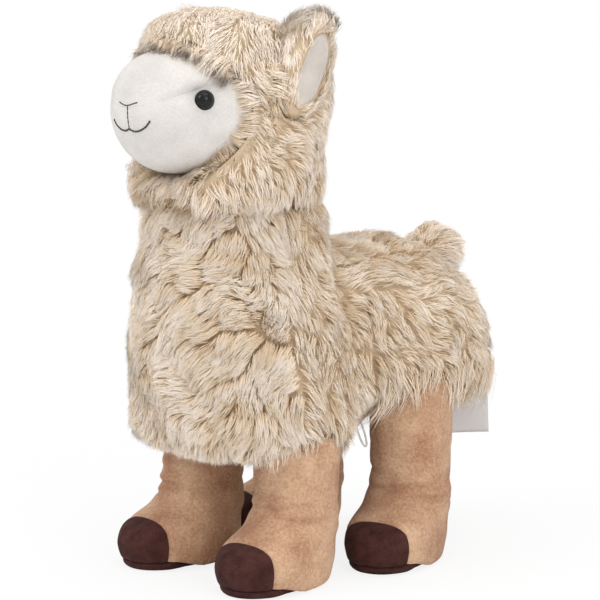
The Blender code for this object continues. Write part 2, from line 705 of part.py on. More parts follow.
def build_label(body, satin, root):
    """A folded strip of blank satin, held by its upper inner edge in a seam."""
    for name, grown in (("care_label", 0.0), ("label_slot", SEAM_GAP)):
        across, normal, half = label_points(grown)
        inner = LABEL_ROOT + across * (-LABEL_SEWN_IN - grown)
        outer = LABEL_ROOT + across * (LABEL_WIDTH - LABEL_SEWN_IN + grown)
        bm = bmesh.new()
        rows = 5
        chain = []
        for i in range(rows + 1):
            fall = LABEL_LENGTH * i / rows
            swing = LABEL_SWING * (i / rows) ** 2
            drop = Vector((0.0, 0.0, -fall))
            bend = normal * swing
            if i == 0:
                drop.z += grown
            if i == rows:
                drop.z -= grown
            chain.append([
                bm.verts.new(inner + drop + bend + normal * half),
                bm.verts.new(outer + drop + bend + across * swing * 0.6 + normal * half),
                bm.verts.new(outer + drop + bend + across * swing * 0.6 - normal * half),
                bm.verts.new(inner + drop + bend - normal * half),
            ])
        faces = [bm.faces.new(chain[0]), bm.faces.new(chain[-1])]
        for first, second in zip(chain, chain[1:]):
            for k in range(4):
                bm.faces.new((first[k], first[k - 1], second[k - 1], second[k]))
        made = add_object(name, bm, satin, root)
    boolean(body, made, "DIFFERENCE")


def tube(points, radius, sides):
    """A round thread through the points, its rings kept square to it."""
    rings = []
    for k, point in enumerate(points):
        along = (points[min(k + 1, len(points) - 1)] - points[max(k - 1, 0)]).normalized()
        first = along.cross(Vector((0.8, -0.6, 0.0))).normalized()
        second = along.cross(first)
        angles = [2 * math.pi * j / sides for j in range(sides)]
        rings.append([point + radius * (math.cos(a) * first + math.sin(a) * second) for a in angles])
    return skin(rings)


def build_loop(body, clear, root):
    """The tag fastener: one thread that comes out of the fur, hangs in a narrow
    loop and goes back in beside itself."""
    steps = 16
    points = []
    for k in range(steps + 1):
        fall = math.sin(math.pi * k / steps) ** 0.7
        side = math.cos(math.pi * k / steps) * (0.4 + 0.6 * fall) * LOOP_WIDTH / 2
        points.append(LOOP_ROOT + LOOP_ACROSS * side + LOOP_HANG * (LOOP_LENGTH * fall))
    add_object("tag_loop", tube(points, LOOP_THREAD / 2, 6), clear, root)
    ahead = [points[0] - LOOP_HANG * SEAM_GAP, *points, points[-1] - LOOP_HANG * SEAM_GAP]
    hole = add_object("loop_hole", tube(ahead, LOOP_THREAD / 2 + 2 * SEAM_GAP, 6), clear, root)
    boolean(body, hole, "DIFFERENCE")


def main():
    clear_scene()
    fur = material("long_pile_fur", FUR_COLOUR, 0.95)
    face = material("short_plush_face", FACE_COLOUR, 0.90)
    tan = material("short_plush_leg", LEG_COLOUR, 0.90)
    brown = material("short_plush_hoof", HOOF_COLOUR, 0.90)
    lining = material("ear_lining_plush", LINING_COLOUR, 0.90)
    glossy = material("eye_plastic", EYE_COLOUR, 0.08)
    white = material("washer_plastic", WASHER_COLOUR, 0.45)
    satin = material("label_satin", LABEL_COLOUR, 0.50)
    clear = material("clear_plastic", LOOP_COLOUR, 0.10)
    root = bpy.data.objects.new("llama", None)
    bpy.context.scene.collection.objects.link(root)

    body = build_body(fur, root)
    head = build_head(fur, root)
    muzzle = build_face(face, root)
    build_eyes(muzzle, glossy, white, root)
    build_ears(head, fur, lining, root)
    build_legs(body, tan, brown, root)
    build_tail(body, fur, root)
    build_label(body, satin, root)
    build_loop(body, clear, root)


main()
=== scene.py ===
"""The dressed plush llama: long combed fur over stuffed backings, short plush on
the face, ears, legs and feet, glossy eyes, thread, satin and clear plastic."""
import math

import bmesh
import bpy
import numpy as np
from mathutils import Matrix, Vector
from mathutils.bvhtree import BVHTree
from mathutils.kdtree import KDTree


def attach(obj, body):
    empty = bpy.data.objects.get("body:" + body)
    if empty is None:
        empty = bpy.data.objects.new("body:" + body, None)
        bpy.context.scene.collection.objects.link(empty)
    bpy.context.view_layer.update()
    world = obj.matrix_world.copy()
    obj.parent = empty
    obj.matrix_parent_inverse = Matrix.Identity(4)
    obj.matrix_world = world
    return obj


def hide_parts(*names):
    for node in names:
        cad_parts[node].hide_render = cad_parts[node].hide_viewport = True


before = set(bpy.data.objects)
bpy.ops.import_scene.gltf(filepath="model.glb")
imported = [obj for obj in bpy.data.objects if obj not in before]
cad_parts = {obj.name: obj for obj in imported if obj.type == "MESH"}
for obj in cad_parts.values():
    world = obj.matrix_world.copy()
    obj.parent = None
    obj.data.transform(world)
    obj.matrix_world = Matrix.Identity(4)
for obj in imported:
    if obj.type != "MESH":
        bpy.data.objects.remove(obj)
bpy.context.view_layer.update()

# ------------------------------------------------------------------ camera
# The photograph's view: from the toy's front left, a little above its head,
# through a long lens.
def add_object(name, data):
    made = bpy.data.objects.new(name, data)
    bpy.context.scene.collection.objects.link(made)
    return made


azimuth, pitch = math.radians(46.5), math.radians(7.85)
camera_distance, camera_height = 1.19, 0.303
camera = add_object("camera", bpy.data.cameras.new("camera"))
across, ahead = math.sin(azimuth), -math.cos(azimuth)
camera.location = (camera_distance * across, camera_distance * ahead, camera_height)
backwards = Vector((across * math.cos(pitch), ahead * math.cos(pitch), math.sin(pitch)))
camera.rotation_euler = backwards.to_track_quat("Z", "Y").to_euler()
camera.data.sensor_width = 36
camera.data.lens = 135.6
bpy.context.scene.camera = camera


# ---------------------------------------------------------- stuffed backing
# Under the pile lies a knitted backing, sewn to a bag and stuffed. It is seen
# only where the fur parts, as a darker tan ground.
def new_material(name):
    made = bpy.data.materials.new(name)
    made.use_nodes = True
    return made, made.node_tree.nodes, made.node_tree.links, made.node_tree.nodes["Principled BSDF"]


def add_node(nodes, kind, **values):
    """A shader node with its options and sockets set, _ for a space."""
    made = nodes.new("ShaderNode" + kind)
    for key, value in values.items():
        if key in made.bl_rna.properties:
            setattr(made, key, value)
        else:
            made.inputs[key.replace("_", " ")].default_value = value
    return made


def tone_ramp(nodes, *stops):
    """A ramp through tones, each a position and a colour, in rising order."""
    ramp = nodes.new("ShaderNodeValToRGB")
    elements = ramp.color_ramp.elements
    elements.remove(elements[1])
    for number, (position, tone) in enumerate(stops):
        element = elements.new(position) if number else elements[0]
        element.position, element.color = position, (*tone, 1)
    return ramp


def toned_material(name, grain, dark, light, roughness, stops=(0.0, 1.0), relief=0.0, **grain_values):
    """Two tones of one stuff, mixed by a texture that lies still on the piece
    and can raise its surface too."""
    made, nodes, links, shader = new_material(name)
    place = nodes.new("ShaderNodeTexCoord")
    texture = add_node(nodes, grain, **grain_values)
    ramp = tone_ramp(nodes, (stops[0], dark), (stops[1], light))
    links.new(place.outputs["Object"], texture.inputs["Vector"])
    links.new(texture.outputs["Fac"], ramp.inputs["Fac"])
    links.new(ramp.outputs["Color"], shader.inputs["Base Color"])
    if relief:
        bump = add_node(nodes, "Bump", Distance=relief)
        links.new(texture.outputs["Fac"], bump.inputs["Height"])
        links.new(bump.outputs["Normal"], shader.inputs["Normal"])
    shader.inputs["Roughness"].default_value = roughness
    return made, shader


backing_knit = toned_material(
    "fur_backing_knit", "TexNoise", (0.50, 0.37, 0.24), (0.68, 0.54, 0.38), roughness=0.95,
    stops=(0.32, 0.70), relief=0.0008, Scale=90, Detail=4,
)[0]


def mesh_of(bm, name):
    """The mesh of a finished bmesh, which is freed."""
    mesh = bpy.data.meshes.new(name)
    bm.to_mesh(mesh)
    bm.free()
    return mesh


def finished_mesh(obj):
    """The mesh of an object with its modifiers applied."""
    graph = bpy.context.evaluated_depsgraph_get()
    return bpy.data.meshes.new_from_object(obj.evaluated_get(graph))


def add_piece(name, mesh, finish):
    """A piece in its finish, on the toy's one body."""
    made = add_object(name, mesh)
    mesh.materials.clear()
    mesh.materials.append(finish)
    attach(made, "root")
    return made


def smooth(bm, rounds):
    for step in range(rounds):
        bmesh.ops.smooth_vert(
            bm, verts=bm.verts, factor=0.5, use_axis_x=True, use_axis_y=True, use_axis_z=True
        )


def stuffed_copy(name, node, voxel, inset, rounds, finish, seam=None):
    """Melt the facets of a CAD solid into a soft skin, drawn in by inset. It
    still reaches a level seam, where another bag is sewn on."""
    bm = bmesh.new()
    bm.from_mesh(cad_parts[node].data)
    bmesh.ops.remove_doubles(bm, verts=bm.verts, dist=1e-6)
    rough = add_object(name + "_rough", mesh_of(bm, name))
    melt = rough.modifiers.new("Melt", "REMESH")
    melt.mode = "VOXEL"
    melt.voxel_size = voxel
    mesh = finished_mesh(rough)
    bpy.data.objects.remove(rough)
    bm = bmesh.new()
    bm.from_mesh(mesh)
    smooth(bm, rounds)
    bm.normal_update()
    for vertex in bm.verts:
        vertex.co -= vertex.normal * inset
    smooth(bm, 3)
    if seam is not None:
        seam_reach = 0.014
        end = min((vertex.co.z for vertex in bm.verts), key=lambda level: abs(level - seam))
        for vertex in bm.verts:
            near = max(0.0, 1 - abs(vertex.co.z - end) / seam_reach)
            vertex.co.z += (seam - end) * near
    bm.to_mesh(mesh)
    bm.free()
    mesh.shade_smooth()
    return add_piece(name, mesh, finish)


def fold_share(points, folds):
    """How deep in a fold each point lies, from 0 to 1. A fold is a line of
    places in millimetres and a reach."""
    deep = np.zeros(len(points))
    for line, reach in folds:
        for first, second in zip(line, line[1:]):
            start, run = np.array(first) / 1000, (np.array(second) - np.array(first)) / 1000
            share = np.clip(((points - start) @ run) / (run @ run), 0, 1)
            gap = np.linalg.norm(points - start - share[:, None] * run, axis=1)
            deep = np.maximum(deep, np.exp(-((1000 * gap / reach) ** 2)))
    return deep


fold_depth = 0.0034
body_folds = [
    ([(39, -76, 169), (44, -68, 168), (46, -55, 170), (46, -44, 174)], 5.0),
    ([(46, -72, 138), (52, -60, 127), (55, -45, 123), (57, -34, 115), (59, -40, 98)], 5.5),
    ([(-8, -97, 135), (7, -96, 121), (20, -91, 107), (31, -88, 98), (35, -83, 80)], 5.0),
    ([(32, -80, 192), (33, -83, 178), (35, -82, 155), (36, -85, 138)], 4.5),
    ([(60, 24, 132), (57, 13, 114), (54, 2, 98)], 6.0),
    ([(37, -13, 180), (35, -9, 164), (43, -13, 146), (47, -13, 130)], 6.0),
    ([(-60, 24, 132), (-57, 13, 114), (-54, 2, 98)], 6.0),
    ([(-46, -60, 150), (-53, -48, 128), (-56, -38, 104)], 5.5),
    ([(-16, -92, 95), (8, -94, 95), (26, -90, 90)], 4.5),
    ([(20, 98, 150), (30, 96, 128), (26, 100, 104)], 5.5),
]
body_backing = stuffed_copy(
    "body_backing", "body_fur", voxel=0.004, inset=0.0042, rounds=8, finish=backing_knit, seam=0.1980
)
body_skin = body_backing.data
body_places = np.array([vertex.co[:] for vertex in body_skin.vertices])
body_normals = [vertex.normal.copy() for vertex in body_skin.vertices]
for vertex, normal, deep in zip(body_skin.vertices, body_normals, fold_share(body_places, body_folds)):
    vertex.co -= normal * fold_depth * deep
body_skin.update()
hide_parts("body_fur")
head_backing = stuffed_copy(
    "head_backing", "head_hood", voxel=0.003, inset=0.0034, rounds=6, finish=backing_knit, seam=0.1983
)
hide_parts("head_hood")


# ---------------------------------------------------------------- long pile
# The fur is polyester pile about 10 mm long, more at the brow and the hems,
# pale at the tip and tan at the root. Hairs cling in tufts, tufts in locks,
# and the coat lies as brushed: a stroke is a place in mm and a direction.
long_pile, nodes, links, shader = new_material("long_pile")
along = add_node(nodes, "Attribute", attribute_name="along")
tone = add_node(nodes, "Attribute", attribute_name="tone")
level = add_node(nodes, "Math", operation="MULTIPLY")
level.inputs[1].default_value = 0.70
shift = add_node(nodes, "Math", operation="MULTIPLY_ADD")
shift.inputs[1].default_value = 0.50
length_ramp = tone_ramp(
    nodes, (0.24, (0.54, 0.31, 0.145)), (0.52, (0.90, 0.715, 0.505)), (0.84, (0.97, 0.855, 0.735))
)
shade = add_node(nodes, "MapRange", From_Min=0, From_Max=1, To_Min=0.90, To_Max=1.05)
tint = add_node(nodes, "VectorMath", operation="SCALE")
links.new(along.outputs["Fac"], level.inputs[0])
links.new(tone.outputs["Fac"], shift.inputs[0])
links.new(level.outputs["Value"], shift.inputs[2])
links.new(shift.outputs["Value"], length_ramp.inputs["Fac"])
links.new(tone.outputs["Fac"], shade.inputs["Value"])
links.new(length_ramp.outputs["Color"], tint.inputs[0])
links.new(shade.outputs["Result"], tint.inputs["Scale"])
links.new(tint.outputs["Vector"], shader.inputs["Base Color"])
shader.inputs["Roughness"].default_value = 0.75
shader.inputs["Specular IOR Level"].default_value = 0.05


def hair_template():
    """One hair: a closed three-sided sliver, widest at the knee, fine at both ends."""
    bm = bmesh.new()
    knee = bmesh.ops.create_circle(bm, cap_ends=False, segments=3, radius=1.0)["verts"]
    bmesh.ops.translate(bm, vec=(0, 0, 1), verts=knee)
    ring = list({edge for vertex in knee for edge in vertex.link_edges})
    for end in (0, 2):
        made = bmesh.ops.extrude_edge_only(bm, edges=ring)["geom"]
        point = [item for item in made if isinstance(item, bmesh.types.BMVert)]
        bmesh.ops.pointmerge(bm, verts=point, merge_co=(0, 0, end))
    bmesh.ops.recalc_face_normals(bm, faces=bm.faces)
    bmesh.ops.triangulate(bm, faces=bm.faces)
    bm.verts.index_update()
    points = np.array([vertex.co[:] for vertex in bm.verts])
    faces = np.array([[vertex.index for vertex in face.verts] for face in bm.faces])
    bm.free()
    return points, faces


hair_points, hair_faces = hair_template()


def unit(vectors):
    return vectors / np.maximum(np.linalg.norm(vectors, axis=-1, keepdims=True), 1e-9)


def flattened(vectors, normals):
    return unit(vectors - normals * (vectors * normals).sum(-1, keepdims=True))


def turned(tangents, normals, angles):
    c, s = np.cos(angles)[:, None], np.sin(angles)[:, None]
    return tangents * c + np.cross(normals, tangents) * s


def drift(points, wavelength, draw):
    """A smooth wandering number over space, about -1 to 1."""
    total = np.zeros(len(points))
    for k in range(6):
        way = unit(draw.normal(size=3)) * 2 * math.pi / wavelength * draw.uniform(0.6, 1.5)
        total += np.sin(points @ way + draw.uniform(0, 2 * math.pi))
    return total / 2.4


def brushed(points, normals, strokes, reach):
    """The way the pile lies: the strokes nearest to a point, blended."""
    table = np.array(strokes)
    places, ways = table[:, :3] / 1000, unit(table[:, 3:])
    total = np.tile((0.0, 0.0, -0.004), (len(points), 1))
    for place, way in zip(places, ways):
        weight = np.exp(-((points - place) ** 2).sum(1) / (2 * reach ** 2))
        total += weight[:, None] * way
    return flattened(total, normals)


def scatter(mesh, count, keep, draw):
    """Points spread evenly over the faces that keep says may carry pile."""
    mesh.calc_loop_triangles()
    corners = np.empty(len(mesh.loop_triangles) * 3, np.int32)
    mesh.loop_triangles.foreach_get("vertices", corners)
    corners = corners.reshape(-1, 3)
    places = np.empty(len(mesh.vertices) * 3)
    mesh.vertices.foreach_get("co", places)
    places = places.reshape(-1, 3)
    normals = np.empty(len(mesh.vertices) * 3)
    mesh.vertices.foreach_get("normal", normals)
    normals = normals.reshape(-1, 3)
    a, b, c = places[corners[:, 0]], places[corners[:, 1]], places[corners[:, 2]]
    areas = np.linalg.norm(np.cross(b - a, c - a), axis=1) / 2
    middles, facing = (a + b + c) / 3, unit(normals[corners].sum(1))
    areas = areas * np.array([keep(Vector(m), Vector(n)) for m, n in zip(middles, facing)], float)
    chosen = draw.choice(len(areas), count, p=areas / areas.sum())
    u, v = draw.random(count), draw.random(count)
    fold = u + v > 1
    u[fold], v[fold] = 1 - u[fold], 1 - v[fold]
    weights = np.stack([1 - u - v, u, v], 1)[:, :, None]
    picked = corners[chosen]
    return (places[picked] * weights).sum(1), unit((normals[picked] * weights).sum(1)), areas.sum()


def nearest(points, centres):
    tree = KDTree(len(centres))
    for i, centre in enumerate(centres):
        tree.insert(centre, i)
    tree.balance()
    return np.array([tree.find(point)[1] for point in points])


def bent(points, tangents, normals, lengths, lifts, sag):
    """The knee and tip of hairs that rise from the backing and curl over."""
    half = (lengths / 2)[:, None]
    steep, flat = (lifts + 0.35)[:, None], (lifts - 0.40)[:, None]
    knees = points + half * (tangents * np.cos(steep) + normals * np.sin(steep))
    tips = knees + half * (tangents * np.cos(flat) + normals * np.sin(flat))
    return knees, tips + lengths[:, None] * sag * np.array((0.0, 0.0, -1.0))


hair_width, root_depth, tuft_hairs = 0.00042, 0.0008, 22


def hair_mesh(name, roots, normals, knees, tips, tone, draw):
    """Skin every hair from its root, knee and tip, and colour it."""
    count = len(roots)
    along = unit(tips - roots)
    side = unit(np.cross(along, normals) + draw.normal(0, 0.25, (count, 3)))
    rise = np.cross(along, side)
    axis = np.stack([roots - normals * root_depth, knees, tips], 1)
    breadth = hair_width * draw.uniform(0.7, 1.3, count)
    ring = hair_points[:, 2].astype(int)
    points = axis[:, ring] + breadth[:, None, None] * 0.5 * (
        hair_points[:, 0][None, :, None] * side[:, None, :]
        + 0.7 * hair_points[:, 1][None, :, None] * rise[:, None, :]
    )
    per, sides = len(hair_points), len(hair_faces)
    corners = (hair_faces[None] + (np.arange(count) * per)[:, None, None]).reshape(-1)
    made = bpy.data.meshes.new(name)
    made.vertices.add(count * per)
    made.vertices.foreach_set("co", points.reshape(-1))
    made.loops.add(len(corners))
    made.loops.foreach_set("vertex_index", corners.astype(np.int32))
    made.polygons.add(count * sides)
    made.polygons.foreach_set("loop_start", np.arange(0, len(corners), 3, dtype=np.int32))
    made.update(calc_edges=True)
    made.shade_smooth()
    level = np.tile(ring / 2, count)
    shade = np.repeat(tone, per)
    for label, values in (("along", level), ("tone", shade)):
        made.attributes.new(label, "FLOAT", "POINT").data.foreach_set("value", values.astype(np.float32))
    bake = made.uv_layers.new(name="OFBake")
    shift = np.array([0.0, 0.02, 0.04])[np.tile(np.arange(3), count * sides)]
    flat = np.stack([0.02 + 0.9 * shade[corners] + shift, 0.02 + 0.94 * level[corners] + shift / 2], 1)
    bake.data.foreach_set("uv", flat.reshape(-1).astype(np.float32))
    skin = normals[:, None, :]
    facing = unit(0.28 * skin + 0.74 * unit(points - axis[:, ring] + 1e-7 * skin) + np.array((0.0, 0.0, 0.12)))
    made.normals_split_custom_set_from_vertices(facing.reshape(-1, 3).tolist())
    return made


def grow(
    name, mesh, keep, count, pile, strokes, seed, reach=0.020, lift=0.72, lock_gap=0.0084, swirl=0.75,
    sag=0.08, bright=0.5, cling=0.74, folds=(),
):
    """Cover the part of a skin that keep allows with count hairs of the pile's
    length, as one piece. Reach is how far a stroke is felt, lift how steeply
    the hairs rise, swirl how they wander, and cling how tightly they clump."""
    draw = np.random.default_rng(seed)
    roots, normals, area = scatter(mesh, count, keep, draw)
    ways = brushed(roots, normals, strokes, reach)
    ways = turned(ways, normals, swirl * drift(roots, 0.034, draw))
    deep = fold_share(roots, folds)
    lengths = pile * (1 + 0.16 * drift(roots, 0.022, draw)) * draw.uniform(0.82, 1.12, count) * (1 - 0.30 * deep)

    clumps = []
    for number, pull_knee, pull_tip in (
        (max(8, int(area / lock_gap ** 2)), 0.14 * cling, 0.54 * cling),
        (max(16, count // tuft_hairs), 0.18 * cling, 0.36 * cling),
    ):
        seeds = draw.choice(count, min(number, count), replace=False)
        own = nearest(roots, roots[seeds])
        heads = len(seeds)
        way = turned(ways[seeds], normals[seeds], draw.normal(0, 0.34, heads))
        long = lengths[seeds] * draw.uniform(0.88, 1.16, heads)
        rise = lift + draw.normal(0, 0.13, heads)
        knees, tips = bent(roots[seeds], way, normals[seeds], long, rise, sag)
        clumps.append((own, knees, tips, pull_knee, pull_tip, draw.normal(0, 1, heads)))

    ways = turned(ways, normals, draw.normal(0, 0.17, count))
    knees, tips = bent(roots, ways, normals, lengths, lift + draw.normal(0, 0.12, count), sag)
    tone = bright + 0.14 * drift(roots, 0.03, draw) + 0.12 * drift(roots, 0.013, draw)
    # Painted shade: hairs that stand in a fold of the coat are drawn darker and tanner, for the shade in the crease.
    tone = tone + draw.normal(0, 0.055, count) - 0.36 * deep
    for own, clump_knees, clump_tips, pull_knee, pull_tip, mood in clumps:
        spread = draw.normal(0, 0.0011, (count, 3))
        # Painted shade: hairs that stray from their lock's tip into the partings between locks are drawn darker, hairs
        # near it paler.
        strayed = np.linalg.norm(clump_tips[own] - tips, axis=1) / lock_gap
        tone += 0.13 * (0.42 - np.minimum(strayed, 1.2))
        knees += pull_knee * (clump_knees[own] - knees)
        tips += pull_tip * (clump_tips[own] + spread - tips)
        tone += 0.07 * mood[own]
    tone = np.clip(tone, 0.02, 0.93)

    coat = add_piece(name, hair_mesh(name, roots, normals, knees, tips, tone, draw), long_pile)
    return coat


def skin_tree(meshes):
    """A search tree over closed skins."""
    points, faces = [], []
    for mesh in meshes:
        start = len(points)
        points += [vertex.co.copy() for vertex in mesh.vertices]
        faces += [[start + i for i in face.vertices] for face in mesh.polygons]
    return BVHTree.FromPolygons(points, faces)


def solid_tree(nodes):
    return skin_tree([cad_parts[node].data for node in nodes])


def clear_of(tree, gap):
    """A test of whether a place lies farther than gap outside the tree's skin."""
    def test(place):
        hit, normal, index, distance = tree.find_nearest(place)
        return math.copysign(distance, (place - hit).dot(normal)) > gap

    return test


# --------------------------------------------------------- chest and trunk
# The chest is two panels joined down the middle of the front, brushed away
# from that seam and down. The trunk's pile runs back and over the rump.
leg_tree = solid_tree([f"leg_{end}_{side}" for end in ("front", "hind") for side in ("left", "right")])
legs_clear, hem_clear = clear_of(leg_tree, 0.0022), clear_of(leg_tree, 0.0005)


def body_keep(place, normal):
    if place.z > 0.186 and normal.z > 0.6:
        return False
    return legs_clear(place)


front_strokes = [
    (-28, -92, 186, -0.8, 0.3, -0.6), (0, -98, 186, -0.7, 0, -0.7), (24, -92, 186, -0.5, -0.1, -0.8),
    (-32, -92, 160, -0.9, 0.4, -0.3), (0, -98, 160, -0.9, 0, -0.4), (25, -94, 160, -0.8, -0.1, -0.5),
    (-36, -92, 134, -0.9, 0.4, -0.3), (0, -98, 134, -1, 0, -0.3), (26, -94, 134, -0.9, -0.1, -0.4),
    (-38, -90, 108, -0.7, 0.3, -0.7), (0, -98, 108, -0.8, 0, -0.6), (26, -94, 108, -0.7, -0.1, -0.7),
    (-38, -86, 80, -0.3, 0, -1), (0, -92, 80, -0.3, 0, -1), (26, -90, 80, -0.2, 0, -1),
]
side_strokes = [
    (42, -74, 186, -0.2, -0.3, -0.9), (44, -40, 186, 0, 0.1, -1), (34, -10, 186, 0, 0.4, -0.9),
    (46, -72, 160, -0.3, -0.4, -0.8), (52, -42, 160, 0, -0.2, -1), (46, -10, 155, 0, 0.4, -0.9),
    (50, -72, 132, -0.3, -0.5, -0.8), (57, -44, 130, 0, -0.4, -0.9), (56, -16, 126, 0, 0.5, -0.7),
    (50, -75, 106, -0.4, -0.6, -0.7), (61, -46, 106, 0, -0.7, -0.6), (61, -16, 100, 0, -0.4, -0.8),
    (48, -72, 80, -0.2, -0.2, -1), (60, -44, 80, 0, -0.1, -1), (54, -8, 84, 0, 0.3, -1), (0, -40, 68, 0, -0.3, -1),
    (0, 0, 175, 0, 1, 0), (30, 15, 165, 0.2, 1, -0.2), (0, 50, 172, 0, 1, 0), (35, 50, 160, 0.4, 0.8, -0.4),
    (58, 20, 140, 0, 0.8, -0.5), (62, 50, 140, 0, 0.7, -0.6), (60, 20, 110, 0, 0.7, -0.6), (65, 50, 110, 0, 0.4, -0.9),
    (58, 20, 88, 0, 0.4, -0.9), (60, 60, 85, 0, 0.1, -1), (30, 95, 150, 0.2, 0.5, -0.8),
    (50, 88, 120, 0.2, 0.2, -1), (0, 108, 120, 0, 0.2, -1), (30, 105, 95, 0.1, 0.1, -1), (0, 60, 80, 0, 0.6, -0.5),
]
side_strokes += [(-x, y, z, -dx, dy, dz) for x, y, z, dx, dy, dz in side_strokes if x > 0]

coat_parts = {
    "chest_fur_left": (lambda p: p.y < -0.052 and p.x >= 0, 22000, 0.0105, 301),
    "chest_fur_right": (lambda p: p.y < -0.052 and p.x < 0, 19000, 0.0105, 302),
    "chest_fur_back": (lambda p: -0.052 <= p.y < 0.004, 16000, 0.0103, 303),
    "trunk_fur": (lambda p: p.y >= 0.004, 26300, 0.0101, 304),
}
for coat_name, (part, count, pile, seed) in coat_parts.items():
    grow(
        coat_name, body_skin, lambda p, n, part=part: part(p) and body_keep(p, n), count, pile,
        front_strokes + side_strokes, seed, folds=body_folds,
    )


def hem_keep(place, normal):
    return place.z < (0.086 if place.y < 0.0 else 0.104) and normal.z < 0.1 and legs_clear(place)


def rump_hem_keep(place, normal):
    return place.y > 0.010 and 0.078 < place.z < 0.118 and normal.z < 0.15 and hem_clear(place)


hem_strokes = [(x, y, 90, 0, 0, -1) for x in (-50, 0, 50) for y in (-80, -30, 20, 60, 100)]
grow("hem_fur", body_skin, hem_keep, 5500, 0.0150, hem_strokes, 305, reach=0.03, lift=0.12, swirl=0.25)
grow(
    "rump_hem_fur", body_skin, rump_hem_keep, 5000, 0.0265, hem_strokes, 306,
    reach=0.03, lift=0.10, swirl=0.3, sag=0.14, bright=0.62, cling=0.6,
)

# -------------------------------------------------------------------- head
# The hood frames the face. Its pile is shorter on the crown, falls forward
# over the brow, sweeps back along the cheeks and hangs under the jaw.
face_tree = solid_tree(["muzzle", "forehead_panel"])
face_clear = clear_of(face_tree, -0.0020)
ear_clear = clear_of(solid_tree(["ear_left", "ear_right", "ear_lining_left", "ear_lining_right"]), -0.0015)
crown_level = 0.268


def head_keep(place, normal):
    if place.z < 0.205 and normal.z < -0.6:
        return False
    return face_clear(place) and ear_clear(place)


def brow_keep(place, normal):
    at_brow = place.z > 0.267 and place.y < -0.074 and face_tree.find_nearest(place)[3] < 0.0065
    return at_brow and head_keep(place, normal)


def jaw_keep(place, normal):
    return place.z < 0.209 and normal.z > -0.8 and face_clear(place)


head_strokes = [
    (0, -60, 290, 0, -0.9, -0.2), (25, -60, 285, 0.4, -0.8, -0.3), (0, -90, 280, 0, -0.5, -0.8),
    (22, -88, 276, 0.2, -0.5, -0.7), (38, -80, 268, 0.5, -0.1, -0.6), (42, -68, 258, 0.2, 0.7, -0.4),
    (44, -65, 245, 0.1, 0.9, -0.3), (44, -66, 230, 0.1, 0.8, -0.6), (48, -45, 250, 0, 0.7, -0.6),
    (50, -40, 230, 0, 0.4, -0.9), (50, -30, 250, 0, 0.2, -1), (48, -15, 260, 0, 0.1, -1),
    (30, -92, 212, 0.2, -0.3, -0.9), (0, -100, 208, 0, -0.4, -0.9), (44, -80, 210, 0.2, 0.1, -1),
    (50, -50, 208, 0.1, 0, -1), (48, -20, 215, 0, 0.1, -1), (0, -25, 288, 0, 0.5, -0.5),
    (25, -20, 280, 0.2, 0.3, -0.9), (0, 2, 260, 0, 0.1, -1), (25, -2, 240, 0.1, 0.1, -1),
    (0, 2, 215, 0, 0.1, -1), (46, -55, 275, 0.3, -0.2, -0.8), (44, -56, 238, 0.2, 0.6, 0.3),
    (44, -46, 242, 0.2, 0.5, 0.5),
]
head_strokes += [(-x, y, z, -dx, dy, dz) for x, y, z, dx, dy, dz in head_strokes if x > 0]
head_skin = head_backing.data
# The crown's pile is drawn paler, root to tip, than the rest of the head: painted light for the light falling on the
# top of the head.
grow(
    "crown_fur", head_skin, lambda p, n: p.z >= crown_level and head_keep(p, n), 10000, 0.0092, head_strokes, 311,
    reach=0.014, bright=0.96, cling=0.35, lift=0.36, swirl=0.6,
)
grow(
    "head_fur", head_skin, lambda p, n: p.z < crown_level and head_keep(p, n), 17800, 0.0105, head_strokes, 312,
    reach=0.014, bright=0.70, lift=0.50,
)
brow_strokes = [(0, -90, 275, 0, -1, -0.7), (25, -88, 272, -0.1, -1, -0.8), (-25, -88, 272, -0.1, -1, -0.8)]
grow(
    "brow_fur", head_skin, brow_keep, 3200, 0.0165, brow_strokes, 314,
    reach=0.03, bright=0.80, lift=0.28, swirl=0.5, sag=0.22,
)
jaw_strokes = [(x, y, 200, x / 60, (y + 50) / 60, -1) for x in (-40, 0, 40) for y in (-100, -50, 0)]
grow(
    "jaw_fur", head_skin, jaw_keep, 4000, 0.0130, jaw_strokes, 313,
    reach=0.03, lift=0.30, swirl=0.3, bright=0.56,
)

# -------------------------------------------------------------------- face
# Two panels of short off-white plush are sewn along a seam that runs from
# each corner of the nose past the eye, and stuffed to a full, round muzzle.
def short_plush(name, dark, light, patch_scale, pile_scale, relief, soft, contrast):
    """Short brushed pile: broad strokes of tone over a fine nap."""
    made, nodes, links, shader = new_material(name)
    place = nodes.new("ShaderNodeTexCoord")
    patches = add_node(nodes, "TexNoise", Scale=patch_scale, Detail=3)
    nap = add_node(nodes, "TexNoise", Scale=pile_scale, Detail=5, Roughness=0.65)
    both = add_node(nodes, "Math", operation="MULTIPLY_ADD")
    both.inputs[1].default_value = 0.55
    half = add_node(nodes, "Math", operation="MULTIPLY")
    half.inputs[1].default_value = 0.45
    ramp = tone_ramp(nodes, (0.5 - contrast, dark), (0.5 + contrast, light))
    bump = add_node(nodes, "Bump", Strength=0.6, Distance=relief)
    links.new(place.outputs["Object"], patches.inputs["Vector"])
    links.new(place.outputs["Object"], nap.inputs["Vector"])
    links.new(patches.outputs["Fac"], both.inputs[0])
    links.new(nap.outputs["Fac"], half.inputs[0])
    links.new(half.outputs["Value"], both.inputs[2])
    links.new(both.outputs["Value"], ramp.inputs["Fac"])
    links.new(ramp.outputs["Color"], shader.inputs["Base Color"])
    links.new(nap.outputs["Fac"], bump.inputs["Height"])
    links.new(bump.outputs["Normal"], shader.inputs["Normal"])
    shader.inputs["Roughness"].default_value = 0.92
    shader.inputs["Specular IOR Level"].default_value = 0.2
    shader.inputs["Sheen Weight"].default_value = soft
    shader.inputs["Sheen Roughness"].default_value = 0.45
    return made


face_plush = short_plush(
    "face_plush", (0.62, 0.59, 0.56), (0.76, 0.73, 0.695), 60, 800, relief=0.0010, soft=0.05, contrast=0.14
)


